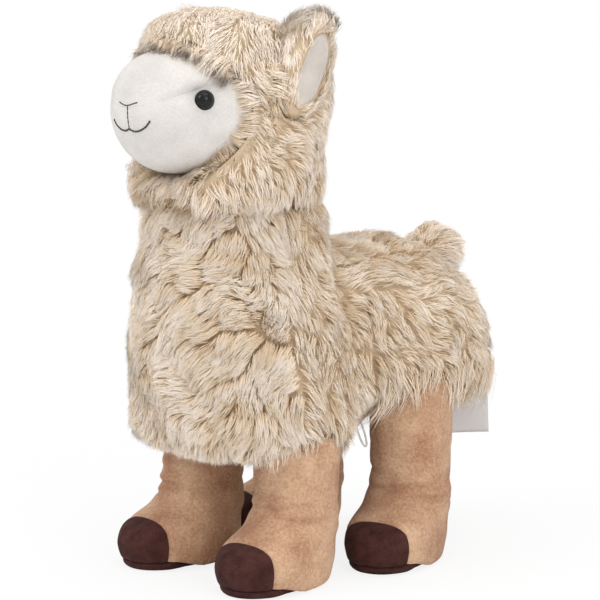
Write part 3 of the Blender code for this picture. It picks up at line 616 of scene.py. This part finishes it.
def between(stations, t):
    """A smooth curve through the stations, read at t from 0 to 1."""
    span = t * (len(stations) - 1)
    start = min(int(span), len(stations) - 2)
    part = span - start
    before, first, second, after = [stations[min(max(start + k, 0), len(stations) - 1)] for k in (-1, 0, 1, 2)]
    return [
        b + 0.5 * part * (c - a + part * (2 * a - 5 * b + 4 * c - d + part * (3 * (b - c) + d - a)))
        for a, b, c, d in zip(before, first, second, after)
    ]


def lofted(rings):
    """Bridge closed rings of points into one skin, and close both ends."""
    bm = bmesh.new()
    loops = []
    for points in rings:
        ring = bmesh.ops.create_circle(bm, cap_ends=False, segments=len(points), radius=1.0)["verts"]
        for vertex, point in zip(ring, points):
            vertex.co = point
        loops.append(list({edge for vertex in ring for edge in vertex.link_edges}))
    for first, second in zip(loops, loops[1:]):
        bmesh.ops.bridge_loops(bm, edges=first + second)
    for loop in (loops[0], loops[-1]):
        bmesh.ops.contextual_create(bm, geom=loop)
    bmesh.ops.recalc_face_normals(bm, faces=bm.faces)
    return bm


def carved(mesh, steps):
    """The mesh after each (operation, other mesh) has been applied."""
    target, tools = add_object("carving", mesh), []
    for operation, other in steps:
        tools.append(add_object("carving_tool", other))
        step = target.modifiers.new(operation.title(), "BOOLEAN")
        step.operation = operation
        step.solver = "EXACT"
        step.object = tools[-1]
    result = finished_mesh(target)
    for item in (target, *tools):
        bpy.data.objects.remove(item)
    return result


def rounded(mesh, crease_angle):
    """Shade a mesh smooth, but for edges sharper than the angle in degrees."""
    mesh.shade_smooth()
    mesh.set_sharp_from_angle(angle=math.radians(crease_angle))
    return mesh


def squircle(angle, squareness):
    """A point on a circle that is squared off a little."""
    power = 2.0 / squareness
    c, s = math.cos(angle), math.sin(angle)
    return math.copysign(abs(c) ** power, c), math.copysign(abs(s) ** power, s)


face_half, face_tall, face_mid, face_tip = 0.039, 0.032, 0.2435, 0.1165
face_stations = [
    (-face_tip, 0.10, 0.15, -0.10), (-face_tip + 0.0012, 0.30, 0.38, -0.32),
    (-face_tip + 0.0060, 0.54, 0.66, -0.62), (-face_tip + 0.0140, 0.72, 0.84, -0.86),
    (-face_tip + 0.0250, 0.84, 0.94, -1.0), (-face_tip + 0.0380, 0.95, 1.0, -1.0),
    (-face_tip + 0.0480, 1.0, 1.0, -0.98), (-0.058, 0.98, 0.97, -0.95),
]
eye_x, eye_y, eye_z = 0.0295, -0.0925, 0.2490
eye_place, eye_facing = Vector((eye_x, eye_y, eye_z)), Vector((0.90, -0.42, 0.10)).normalized()
face_rings = []
for i in range(56):
    y, half, top, bottom = between(face_stations, (i / 55) ** 0.8)
    top, bottom, half = face_mid + face_tall * top, face_mid + face_tall * bottom, face_half * half
    ring = []
    for j in range(112):
        c, s = squircle(2 * math.pi * j / 112, 2.1)
        ring.append(Vector((half * c, y, (top + bottom) / 2 + s * (top - bottom) / 2)))
    face_rings.append(ring)
nose_y, nose_z, nose_half = -face_tip + 0.003, 0.2475, 0.012
seam_dish, seam_groove, eye_dimple = 0.15, 0.0024, 0.0016
seam_slope = (eye_z + 0.0050 + 0.0018 - nose_z - seam_dish * (eye_x - nose_half)) / (eye_y - nose_y)


def seam_height(x, y):
    """Height of the seam, which rises from the nose and passes above the eye."""
    return nose_z - seam_dish * nose_half + seam_slope * (y - nose_y) + seam_dish * abs(x)


def face_panel(name, above):
    """Cut one panel from the stuffed face, and draw the plush in at its seam
    and round the eyes."""
    ends = []
    for y in (-0.2, 0.0):
        corners = [(x, y, seam_height(x, y) + (0.00002 if above else -0.00003)) for x in (-0.08, 0.0, 0.08)]
        ends.append([Vector(corner) for corner in corners] + [Vector((0.08, y, 0.32)), Vector((-0.08, y, 0.32))])
    bm = bmesh.new()
    faces = [bm.faces.new([bm.verts.new(point) for point in ring]) for ring in ends]
    bmesh.ops.bridge_loops(bm, edges=[edge for face in faces for edge in face.edges])
    bmesh.ops.recalc_face_normals(bm, faces=bm.faces)
    cutter = mesh_of(bm, "face_seam_cutter")
    mesh = carved(mesh_of(lofted(face_rings), name), [("INTERSECT" if above else "DIFFERENCE", cutter)])
    for vertex in mesh.vertices:
        place = vertex.co
        outward = Vector((place.x, 0, place.z - face_mid))
        if outward.length < 0.004:
            outward = Vector((0, -1, 0))
        gap = place.z - seam_height(place.x, place.y)
        spread = 0.0016 if gap > 0 else 0.0045
        fade = min(1.0, max(0.0, (place.y + 0.1135) / 0.014))
        groove = seam_groove * fade * math.exp(-((gap / spread) ** 2))
        for side in (1, -1):
            eye = Vector((side * eye_place.x, eye_place.y, eye_place.z))
            groove += eye_dimple * math.exp(-(((place - eye).length / 0.0072) ** 4))
        vertex.co = place - outward.normalized() * groove
    made = add_piece(name, rounded(mesh, 55), face_plush)
    return made


muzzle = face_panel("muzzle_plush", above=False)
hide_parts("muzzle")
forehead = face_panel("forehead_plush", above=True)
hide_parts("forehead_panel")
hood_tree = solid_tree(["head_hood"])
rim_slopes = ((265, -0.1), (245, -0.2), (225, -0.5), (210, -0.6))
rim_strokes = [(x, y, z, 0, 1, slope) for x in (-40, 40) for y in (-85, -65) for z, slope in rim_slopes]


def rim_keep(place, normal):
    at_side = place.y > -0.088 and place.z < 0.266 and abs(place.x) > 0.018
    return at_side and hood_tree.find_nearest(place)[3] < 0.0050


for panel, hairs in ((muzzle, 4200), (forehead, 900)):
    grow(
        panel.name.replace("plush", "rim_fur"), panel.data, rim_keep, hairs, 0.0125, rim_strokes, 315,
        bright=0.74, lift=0.30, swirl=0.5,
    )

# --------------------------------------------------------- nose and mouth
# Nose, philtrum and mouth are stitched through the plush in black cotton,
# one short stitch after another.
black_thread = toned_material(
    "black_thread", "TexWave", (0.012, 0.011, 0.012), (0.06, 0.056, 0.055), roughness=0.6,
    Scale=900, Distortion=2,
)[0]
plush_tree = skin_tree([muzzle.data, forehead.data])


def on_face(x, z):
    return plush_tree.ray_cast(Vector((x, -0.2, z)), Vector((0, 1, 0)))[0]


def stitched(name, lines, stitch, thick):
    """Rows of stitches along lines of (x, z) in mm, laid on the face."""
    bm = bmesh.new()
    for line in lines:
        path = []
        for (x0, z0), (x1, z1) in zip(line, line[1:]):
            for k in range(24):
                path.append((x0 + (x1 - x0) * k / 24, z0 + (z1 - z0) * k / 24))
        path.append(line[-1])
        path = [on_face(x / 1000, z / 1000) for x, z in path]
        lengths = [0.0]
        for first, second in zip(path, path[1:]):
            lengths.append(lengths[-1] + (second - first).length)
        count = max(1, round(lengths[-1] / stitch))
        marks = []
        for k in range(count + 1):
            goal = lengths[-1] * k / count
            marks.append(path[min(range(len(path)), key=lambda i: abs(lengths[i] - goal))])
        for first, second in zip(marks, marks[1:]):
            way = second - first
            made = bmesh.ops.create_uvsphere(bm, u_segments=10, v_segments=8, radius=0.5)["verts"]
            turn = way.to_track_quat("Z", "Y").to_matrix().to_4x4()
            size = Matrix.Diagonal((thick, thick, way.length * 1.12, 1))
            bmesh.ops.transform(bm, matrix=Matrix.Translation((first + second) / 2) @ turn @ size, verts=made)
    mesh = mesh_of(bm, name)
    mesh.shade_smooth()
    add_piece(name, mesh, black_thread)


def arc_through(points, steps=10):
    return [tuple(between(points, k / steps)) for k in range(steps + 1)]


nose = [(-6.6, 247.7), (-3.0, 246.4), (0, 246.0), (3.2, 246.9), (7.2, 247.9)]
philtrum = [(0, 246.0), (0.1, 240.5), (0.4, 234.8)]
mouth_left = [(0.4, 234.8), (2.8, 233.6), (6.0, 233.7), (9.2, 234.8), (12.0, 236.6), (14.2, 239.2)]
mouth_right = [(0.4, 234.8), (-2.4, 233.7), (-5.4, 233.8), (-8.4, 234.9), (-11.0, 236.6), (-13.0, 239.0)]
stitched("nose_stitches", [nose, philtrum], stitch=0.0021, thick=0.00075)
stitched("mouth_stitches", [arc_through(mouth_left), arc_through(mouth_right)], stitch=0.0017, thick=0.00115)

# -------------------------------------------------------------------- eyes
# Black plastic safety eyes: a polished dome on a flat rim, pushed through
# the plush on a stem and locked by a washer inside.
eye_plastic, shader = toned_material(
    "polished_eye_plastic", "TexNoise", (0.006, 0.006, 0.006), (0.014, 0.013, 0.013), roughness=0.07, Scale=300
)
shader.inputs["Specular IOR Level"].default_value = 0.22
profile = [
    (0, -0.0105), (0.0017, -0.0105), (0.0017, 0.0004), (0.0047, 0.0004), (0.0050, 0.0007), (0.0050, 0.0010),
    (0.0048, 0.0013), (0.0044, 0.00135),
]
for k in range(1, 11):
    angle = math.pi / 2 * k / 10
    profile.append((0.0043 * math.cos(angle) if k < 10 else 0.0, 0.0013 + 0.0034 * math.sin(angle)))
for side, word in ((1, "left"), (-1, "right")):
    bm = bmesh.new()
    chain = [bm.verts.new((radius, 0, height)) for radius, height in profile]
    edges = [bm.edges.new(pair) for pair in zip(chain, chain[1:])]
    bmesh.ops.spin(
        bm, geom=chain + edges, cent=(0, 0, 0), axis=(0, 0, 1), angle=2 * math.pi, steps=40, use_merge=True
    )
    bmesh.ops.remove_doubles(bm, verts=bm.verts, dist=1e-6)
    bmesh.ops.recalc_face_normals(bm, faces=bm.faces)
    facing = Vector((side * eye_facing.x, eye_facing.y, eye_facing.z))
    place = Vector((side * eye_place.x, eye_place.y, eye_place.z)) + facing * 0.0002
    turn = facing.to_track_quat("Z", "Y").to_matrix().to_4x4()
    bmesh.ops.transform(bm, matrix=Matrix.Translation(place) @ turn, verts=bm.verts)
    eye = add_piece(f"eye_dome_{word}", rounded(mesh_of(bm, f"eye_dome_{word}"), 50), eye_plastic)
    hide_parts(f"eye_{word}")

# -------------------------------------------------------------------- ears
# Each ear is a leaf of fur folded round a cup of whitish short plush. Its
# back and its edge carry pile that stands up past the tip.
lining_plush = short_plush(
    "ear_lining_plush", (0.55, 0.50, 0.45), (0.64, 0.595, 0.55), 80, 1300, relief=0.0005, soft=0.1, contrast=0.14
)


def leaf_mesh(size, place):
    """A closed leaf with round ends, standing in the local YZ plane."""
    length, width, thickness = size
    rings = []
    for i in range(26):
        lift = -math.cos(math.pi * (i + 0.5) / 26)
        swell = (1 - lift ** 2) ** 0.4
        ring = []
        for j in range(36):
            angle = 2 * math.pi * j / 36
            around, out = width * swell * math.cos(angle), thickness * swell * math.sin(angle)
            ring.append(place @ (Vector((out, around, length * lift)) / 2))
        rings.append(ring)
    return mesh_of(lofted(rings), "leaf")


ear_size, cup_size = (0.050, 0.026, 0.018), (0.042, 0.0135, 0.0162)
for side, word in ((1, "left"), (-1, "right")):
    stand = Matrix.Translation((side * 0.044, -0.041, 0.2625))
    stand = stand @ Matrix.Rotation(math.radians(-26), 4, "X") @ Matrix.Rotation(-side * math.radians(24), 4, "Z")
    cup = stand @ Matrix.Translation((side * 0.018 * 0.46, 0.0040, 0))
    floor_of_cup = cup @ Matrix.Translation((side * 0.0030, 0, 0))
    wide_cup = leaf_mesh([value + 0.0004 for value in cup_size], cup)
    ear_mesh = rounded(carved(leaf_mesh(ear_size, stand), [("DIFFERENCE", wide_cup)]), 60)
    ear = add_piece(f"ear_backing_{word}", ear_mesh, backing_knit)
    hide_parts(f"ear_{word}")
    tight_ear = leaf_mesh([value - 0.0002 for value in ear_size], stand)
    lining_steps = [("INTERSECT", tight_ear), ("DIFFERENCE", leaf_mesh(cup_size, floor_of_cup))]
    lining_mesh = rounded(carved(leaf_mesh(cup_size, cup), lining_steps), 60)
    lining = add_piece(f"ear_lining_plush_{word}", lining_mesh, lining_plush)
    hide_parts(f"ear_lining_{word}")
    lining_clear = clear_of(solid_tree([f"ear_lining_{word}"]), 0.0011)
    ear_strokes = [
        (side * 44, -58, 262, side * 0.2, 0.4, 1), (side * 38, -40, 262, 0, 0.1, 1),
        (side * 44, -30, 262, 0, 0.5, 1), (side * 46, -56, 278, side * 0.1, -0.1, 1),
        (side * 44, -34, 284, 0, 0.7, 1), (side * 44, -46, 288, side * 0.1, 0.2, 1),
        (side * 46, -60, 245, side * 0.1, 0.4, 0.7),
    ]
    grow(
        f"ear_fur_{word}", ear_mesh, lambda p, n: p.z > 0.234 and lining_clear(p), 3600, 0.0080, ear_strokes,
        320 + side, reach=0.010, lift=0.42, sag=0.0, bright=0.84, lock_gap=0.006, swirl=0.35, cling=0.7,
    )
    grow(
        f"ear_tuft_{word}", ear_mesh, lambda p, n: p.z > 0.276 and lining_clear(p), 1700, 0.0160, ear_strokes,
        330 + side, reach=0.010, lift=0.12, sag=0.0, bright=0.92, lock_gap=0.004, swirl=0.8, cling=0.7,
    )

# ---------------------------------------------------------- legs and feet
# The legs are stuffed tubes of short tan plush that turn forward into the
# foot. The toes are capped in dark brown plush with a seam down the middle,
# and a brown sole is sewn underneath.
leg_plush = short_plush(
    "leg_plush", (0.37, 0.188, 0.107), (0.665, 0.44, 0.285), 46, 700, relief=0.0011, soft=0.12, contrast=0.115
)
hoof_plush = short_plush(
    "hoof_plush", (0.032, 0.0095, 0.0078), (0.080, 0.028, 0.0235), 160, 1100, relief=0.0006, soft=0.02, contrast=0.14
)
toe_reach, heel_reach, foot_half, leg_half, sole_thick = 0.0525, 0.0205, 0.02325, 0.02175, 0.0048
cap_length, cap_lean = 0.0160, math.radians(3)
foot_low = sole_thick + 0.0003


def foot_rings(top, roll, rows=84, columns=56):
    """Level rings from the sole to the top of a leg. The roll tucks the
    plush's lower edge under the foot, down to the sole."""
    side, toe, heel = (foot_half + leg_half) / 2, -toe_reach, heel_reach
    stations = [
        (foot_low, foot_half * 0.80, toe + 0.0050, heel - 0.0085),
        (foot_low - 0.0043 * roll, foot_half * 0.84, toe + 0.0042, heel - 0.0072),
        (foot_low - 0.0030 * roll, foot_half * 0.92, toe + 0.0022, heel - 0.0035),
        (foot_low + 0.004, foot_half * 0.97, toe + 0.0005, heel - 0.001),
        (foot_low + 0.009, foot_half, toe, heel),
        (0.0205, foot_half, toe + 0.003, heel),
        (0.0245, foot_half * 0.99, toe + 0.010, heel),
        (0.030, foot_half * 0.97, toe + 0.022, leg_half),
        (0.038, side * 0.97, -leg_half * 1.13, leg_half * 0.97),
        (0.046, leg_half * 0.96, -leg_half * 1.02, leg_half * 0.97),
        ((0.046 + top) / 2, leg_half, -leg_half, leg_half),
        (top, leg_half, -leg_half, leg_half),
    ]
    rings = []
    for i in range(rows):
        height, half, front, back = between(stations, i / (rows - 1))
        ring = []
        for j in range(columns):
            c, s = squircle(2 * math.pi * (j + 0.5) / columns, 2.15)
            ring.append(Vector((half * c, (front + back) / 2 + (back - front) / 2 * s, height)))
        rings.append(ring)
    return rings


def cut_away(bm, place, normal):
    """Cut a closed bmesh by a plane, and close it."""
    geometry = bm.verts[:] + bm.edges[:] + bm.faces[:]
    cut = bmesh.ops.bisect_plane(
        bm, geom=geometry, dist=1e-7, plane_co=place, plane_no=normal, clear_outer=True
    )["geom_cut"]
    bmesh.ops.contextual_create(bm, geom=[item for item in cut if isinstance(item, bmesh.types.BMEdge)])


def finish_leg(bm, name, place, finish, node):
    """Set a leg's stuffed part in its place, instead of its CAD node."""
    bmesh.ops.recalc_face_normals(bm, faces=bm.faces)
    bmesh.ops.transform(bm, matrix=place, verts=bm.verts)
    made = add_piece(name, rounded(mesh_of(bm, name), 60), finish)
    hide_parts(node)


def crease(bm, creases):
    """Press soft folds into a leg: each has a height, an angle round the leg, a
    spread, a depth, a tilt and a width."""
    for vertex in bm.verts:
        angle = math.atan2(vertex.co.x, -vertex.co.y)
        push = 0.0
        for height, middle, spread, depth, tilt, wide in creases:
            turn = (angle - middle + math.pi) % (2 * math.pi) - math.pi
            lift = (vertex.co.z - height - tilt * turn) / wide
            if abs(lift) < 4:
                profile = math.exp(-lift * lift) - 0.55 * math.exp(-((lift - 1.6) ** 2))
                push += depth * profile * math.exp(-((turn / spread) ** 2))
        way = Vector((vertex.co.x, vertex.co.y, 0))
        if way.length > 0.005:
            vertex.co -= way.normalized() * push


cap_plane = Vector((0, -toe_reach + cap_length, sole_thick))
cap_normal = Vector((0, -math.cos(cap_lean), -math.sin(cap_lean)))
cap_seam_depth, cap_seam_width, cleft_width = 0.0007, 0.0012, 0.0013


def draw_in_seams(bm, cleft):
    """Draw the plush in at the cap's seam, and down the middle of the toes."""
    for vertex in bm.verts:
        gap = abs((vertex.co - cap_plane).dot(cap_normal))
        outward = Vector((vertex.co.x, 0, vertex.co.z - 0.014)).normalized()
        vertex.co -= outward * cap_seam_depth * math.exp(-((gap / cap_seam_width) ** 2))
        vertex.co.y += cleft * math.exp(-((vertex.co.x / cleft_width) ** 2)) * min(1.0, gap / 0.006)


def shape_leg(bm):
    """Lift the rolled edge where the cap begins, and press the instep's seam."""
    for vertex in bm.verts:
        ease = min(1.0, max(0.0, (vertex.co.y - cap_plane.y - 0.004) / 0.016))
        drop = foot_low - vertex.co.z
        if drop > 0:
            vertex.co.z += drop * (1 - ease)
        if vertex.co.y < 0 and vertex.co.z > 0.012:
            vertex.co.y += 0.0008 * math.exp(-((vertex.co.x / cleft_width) ** 2))


def sole_rings():
    """Level rings of a sole with a round edge, narrower behind the cap."""
    rings = []
    edge = ((0.0, 1.0), (0.08, 0.62), (0.25, 0.3), (0.45, 0.08), (0.65, 0.0), (0.85, 0.02), (0.97, 0.25))
    for height, share in edge:
        inset = share * 0.0035
        front, back = -toe_reach + 0.003 + inset, heel_reach - 0.0095 - inset
        ring = []
        for j in range(56):
            c, s = squircle(2 * math.pi * (j + 0.5) / 56, 2.15)
            along_foot = (front + back) / 2 + (back - front) / 2 * s
            narrow = min(1.0, max(0.0, (along_foot - cap_plane.y - 0.002) / 0.010))
            half = foot_half * (0.87 - 0.11 * narrow) - inset
            ring.append(Vector((half * c, along_foot, sole_thick * height)))
        rings.append(ring)
    return rings


for end, leg_top, stance, along, toe_out in (("front", 0.077, 0.073, -0.037, 4), ("hind", 0.098, 0.082, 0.043, 16)):
    for side, word in ((1, "left"), (-1, "right")):
        draw = np.random.default_rng(50 + side + (10 if end == "hind" else 0))
        place = Matrix.Translation((side * stance / 2, along, 0))
        place = place @ Matrix.Rotation(side * math.radians(toe_out), 4, "Z")
        creases = [
            (0.041, 0.0 + side * 0.2, 1.1, 0.0022, 0.0020, 0.0022), (0.036, side * 0.9, 0.9, 0.0019, -0.0018, 0.0020),
            (0.048, -side * 0.3, 1.0, 0.0016, -0.0015, 0.0024), (0.056, side * 0.7, 1.2, 0.0012, 0.0022, 0.0028),
            (0.044, math.pi, 0.9, 0.0010, 0.0015, 0.0022), (0.033, math.pi + 0.3, 0.8, 0.0009, -0.0010, 0.0020),
            (0.064, draw.uniform(-1, 1), 0.9, 0.0006, 0.0015, 0.0028),
            (0.030, side * 1.6, 0.7, 0.0008, 0.0020, 0.0018),
        ]
        bm = lofted(foot_rings(leg_top, roll=1.0))
        crease(bm, creases)
        shape_leg(bm)
        cut_away(bm, cap_plane - cap_normal * 0.0001, cap_normal)
        draw_in_seams(bm, cleft=0.0)
        finish_leg(bm, f"leg_plush_{end}_{word}", place, leg_plush, f"leg_{end}_{word}")
        bm = lofted(foot_rings(leg_top, roll=0.0))
        cut_away(bm, cap_plane + cap_normal * 0.0001, -cap_normal)
        draw_in_seams(bm, cleft=0.0024)
        finish_leg(bm, f"toe_cap_plush_{end}_{word}", place, hoof_plush, f"toe_cap_{end}_{word}")
        bm = lofted(sole_rings())
        finish_leg(bm, f"sole_plush_{end}_{word}", place, hoof_plush, f"sole_{end}_{word}")

# -------------------------------------------------------------------- tail
# A short tuft of the same fur, sewn on at the top of the rump.
tail_backing = stuffed_copy("tail_backing", "tail", voxel=0.0020, inset=0.0030, rounds=2, finish=backing_knit)
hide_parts("tail")
tail_strokes = [
    (0, 95, 170, 0, 1, 0.2), (0, 110, 165, 0, 0.9, -0.1), (12, 105, 155, 0.2, 0.9, -0.3),
    (-12, 105, 155, -0.2, 0.9, -0.3), (0, 105, 145, 0, 0.8, -0.4),
]
grow(
    "tail_fur", tail_backing.data, lambda p, n: p.y > 0.092, 2900, 0.0120, tail_strokes, 331,
    reach=0.012, lift=0.55, bright=0.66,
)

# -------------------------------------------------------------- care label
# A folded strip of white satin ribbon is caught in the seam under the rump.
# It is bare.
# The satin is drawn light grey rather than white: painted shade for the shade under the rump, where the label hangs.
satin, shader = toned_material(
    "label_satin", "TexWave", (0.61, 0.585, 0.575), (0.69, 0.665, 0.655), roughness=0.42, relief=0.0001,
    bands_direction="Z", Scale=520, Distortion=0.6,
)
shader.inputs["Sheen Weight"].default_value = 0.2
label_width, label_fall = 0.024, 0.038
label_top, label_turn = Vector((0.030, 0.096, 0.096)), math.radians(58)
label_across = Vector((math.cos(label_turn), math.sin(label_turn), 0))
label_normal = Vector((-label_across.y, label_across.x, 0))
bm = bmesh.new()
bmesh.ops.create_grid(bm, x_segments=12, y_segments=20, size=0.5)
for vertex in bm.verts:
    wide, fall = vertex.co.x + 0.5, 0.5 - vertex.co.y
    swing = 0.003 * fall ** 2 + 0.0007 * math.sin(wide * 4) * fall
    aside = -0.010 + label_width * wide + 0.6 * 0.003 * fall ** 2
    place = label_top + label_across * aside + label_normal * swing
    vertex.co = place + Vector((0, 0, -label_fall * fall))
label_mesh = mesh_of(bm, "care_label_satin")
label_mesh.shade_smooth()
label = add_piece("care_label_satin", label_mesh, satin)
layers = label.modifiers.new("Layers", "SOLIDIFY")
layers.thickness = 0.0005
layers.offset = 0
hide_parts("care_label")

# ---------------------------------------------------------------- tag loop
# The fastener that once held a paper tag: one clear plastic thread, looped
# through the fur at the flank.
clear_plastic, shader = toned_material(
    "clear_loop_plastic", "TexNoise", (0.86, 0.86, 0.85), (0.95, 0.95, 0.94), roughness=0.12, Scale=700
)
shader.inputs["Transmission Weight"].default_value = 0.75
shader.inputs["IOR"].default_value = 1.45
loop_root = Vector((0.034, 0.006, 0.0860))
loop_hang, loop_across = Vector((0.10, 0.30, -0.95)).normalized(), Vector((0.6, 0.8, 0.0))
line = bpy.data.curves.new("loop_line", "CURVE")
line.dimensions = "3D"
line.bevel_depth = 0.0005
line.bevel_resolution = 3
line.use_fill_caps = True
spline = line.splines.new("POLY")
spline.points.add(48)
for k in range(49):
    fall = math.sin(math.pi * k / 48) ** 0.7
    across = math.cos(math.pi * k / 48) * (0.4 + 0.6 * fall) * 0.0025
    spline.points[k].co = (*(loop_root + loop_across * across + loop_hang * (0.024 * fall)), 1)
line_object = add_object("loop_line", line)
loop_mesh = finished_mesh(line_object)
bpy.data.objects.remove(line_object)
loop_mesh.shade_smooth()
loop = add_piece("tag_loop_thread", loop_mesh, clear_plastic)
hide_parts("tag_loop")

# ------------------------------------------------------------ eye washers
# Inside the muzzle, ribbed washers of natural white plastic grip the stems.
washer_plastic = toned_material(
    "washer_plastic", "TexNoise", (0.74, 0.74, 0.71), (0.84, 0.84, 0.82), roughness=0.45, Scale=600
)[0]
for word in ("left", "right"):
    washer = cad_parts[f"eye_washer_{word}"]
    washer.data.materials.clear()
    washer.data.materials.append(washer_plastic)

# ------------------------------------------------------------------ studio
# A white sweep under soft light: a broad lamp from the toy's front, one from
# its left side, one from above, and the white room around.
bpy.ops.mesh.primitive_plane_add(size=6)
floor = bpy.context.object
floor.name = "floor"
floor_finish, nodes, links, shader = new_material("white_floor")
shader.inputs["Base Color"].default_value = (0.9, 0.9, 0.9, 1)
shader.inputs["Roughness"].default_value = 0.9
glow = add_node(nodes, "Emission", Strength=1.0)
white_mix = nodes.new("ShaderNodeMixShader")
seen = nodes.new("ShaderNodeLightPath")
floor_place = nodes.new("ShaderNodeTexCoord")
away = add_node(nodes, "VectorMath", operation="LENGTH")
fade = add_node(nodes, "MapRange", From_Min=0.15, From_Max=0.55, To_Min=0.84, To_Max=1.0)
share = add_node(nodes, "Math", operation="MULTIPLY")
links.new(floor_place.outputs["Object"], away.inputs[0])
links.new(away.outputs["Value"], fade.inputs["Value"])
links.new(fade.outputs["Result"], share.inputs[1])
links.new(seen.outputs["Is Camera Ray"], share.inputs[0])
links.new(share.outputs["Value"], white_mix.inputs["Fac"])
links.new(shader.outputs["BSDF"], white_mix.inputs[1])
links.new(glow.outputs["Emission"], white_mix.inputs[2])
links.new(white_mix.outputs["Shader"], nodes["Material Output"].inputs["Surface"])
floor.data.materials.append(floor_finish)
world = bpy.data.worlds.new("room")
bpy.context.scene.world = world
world.use_nodes = True
nodes, links = world.node_tree.nodes, world.node_tree.links
nodes["Background"].inputs["Color"].default_value = (1, 1, 1, 1)
seen = nodes.new("ShaderNodeLightPath")
seen_or_through = add_node(nodes, "Math", operation="MAXIMUM")
sky_level = add_node(nodes, "MapRange", To_Min=0.72, To_Max=1.0)
links.new(seen.outputs["Is Camera Ray"], seen_or_through.inputs[0])
links.new(seen.outputs["Is Transmission Ray"], seen_or_through.inputs[1])
links.new(seen_or_through.outputs["Value"], sky_level.inputs["Value"])
links.new(sky_level.outputs["Result"], nodes["Background"].inputs["Strength"])


def add_lamp(name, place, size, power):
    lamp = add_object(name, bpy.data.lights.new(name, "AREA"))
    lamp.data.shape = "DISK"
    lamp.data.size = size
    lamp.data.energy = power
    lamp.location = place
    lamp.rotation_euler = (Vector(place) - Vector((0, 0, 0.15))).to_track_quat("Z", "Y").to_euler()


add_lamp("key_lamp", (-0.5, -1.2, 1.2), size=0.9, power=8)
add_lamp("fill_lamp", (1.4, -0.4, 0.8), size=1.0, power=7.5)
add_lamp("top_lamp", (0.3, -0.1, 1.5), size=1.2, power=6)
bpy.context.scene.view_settings.view_transform = "Standard"
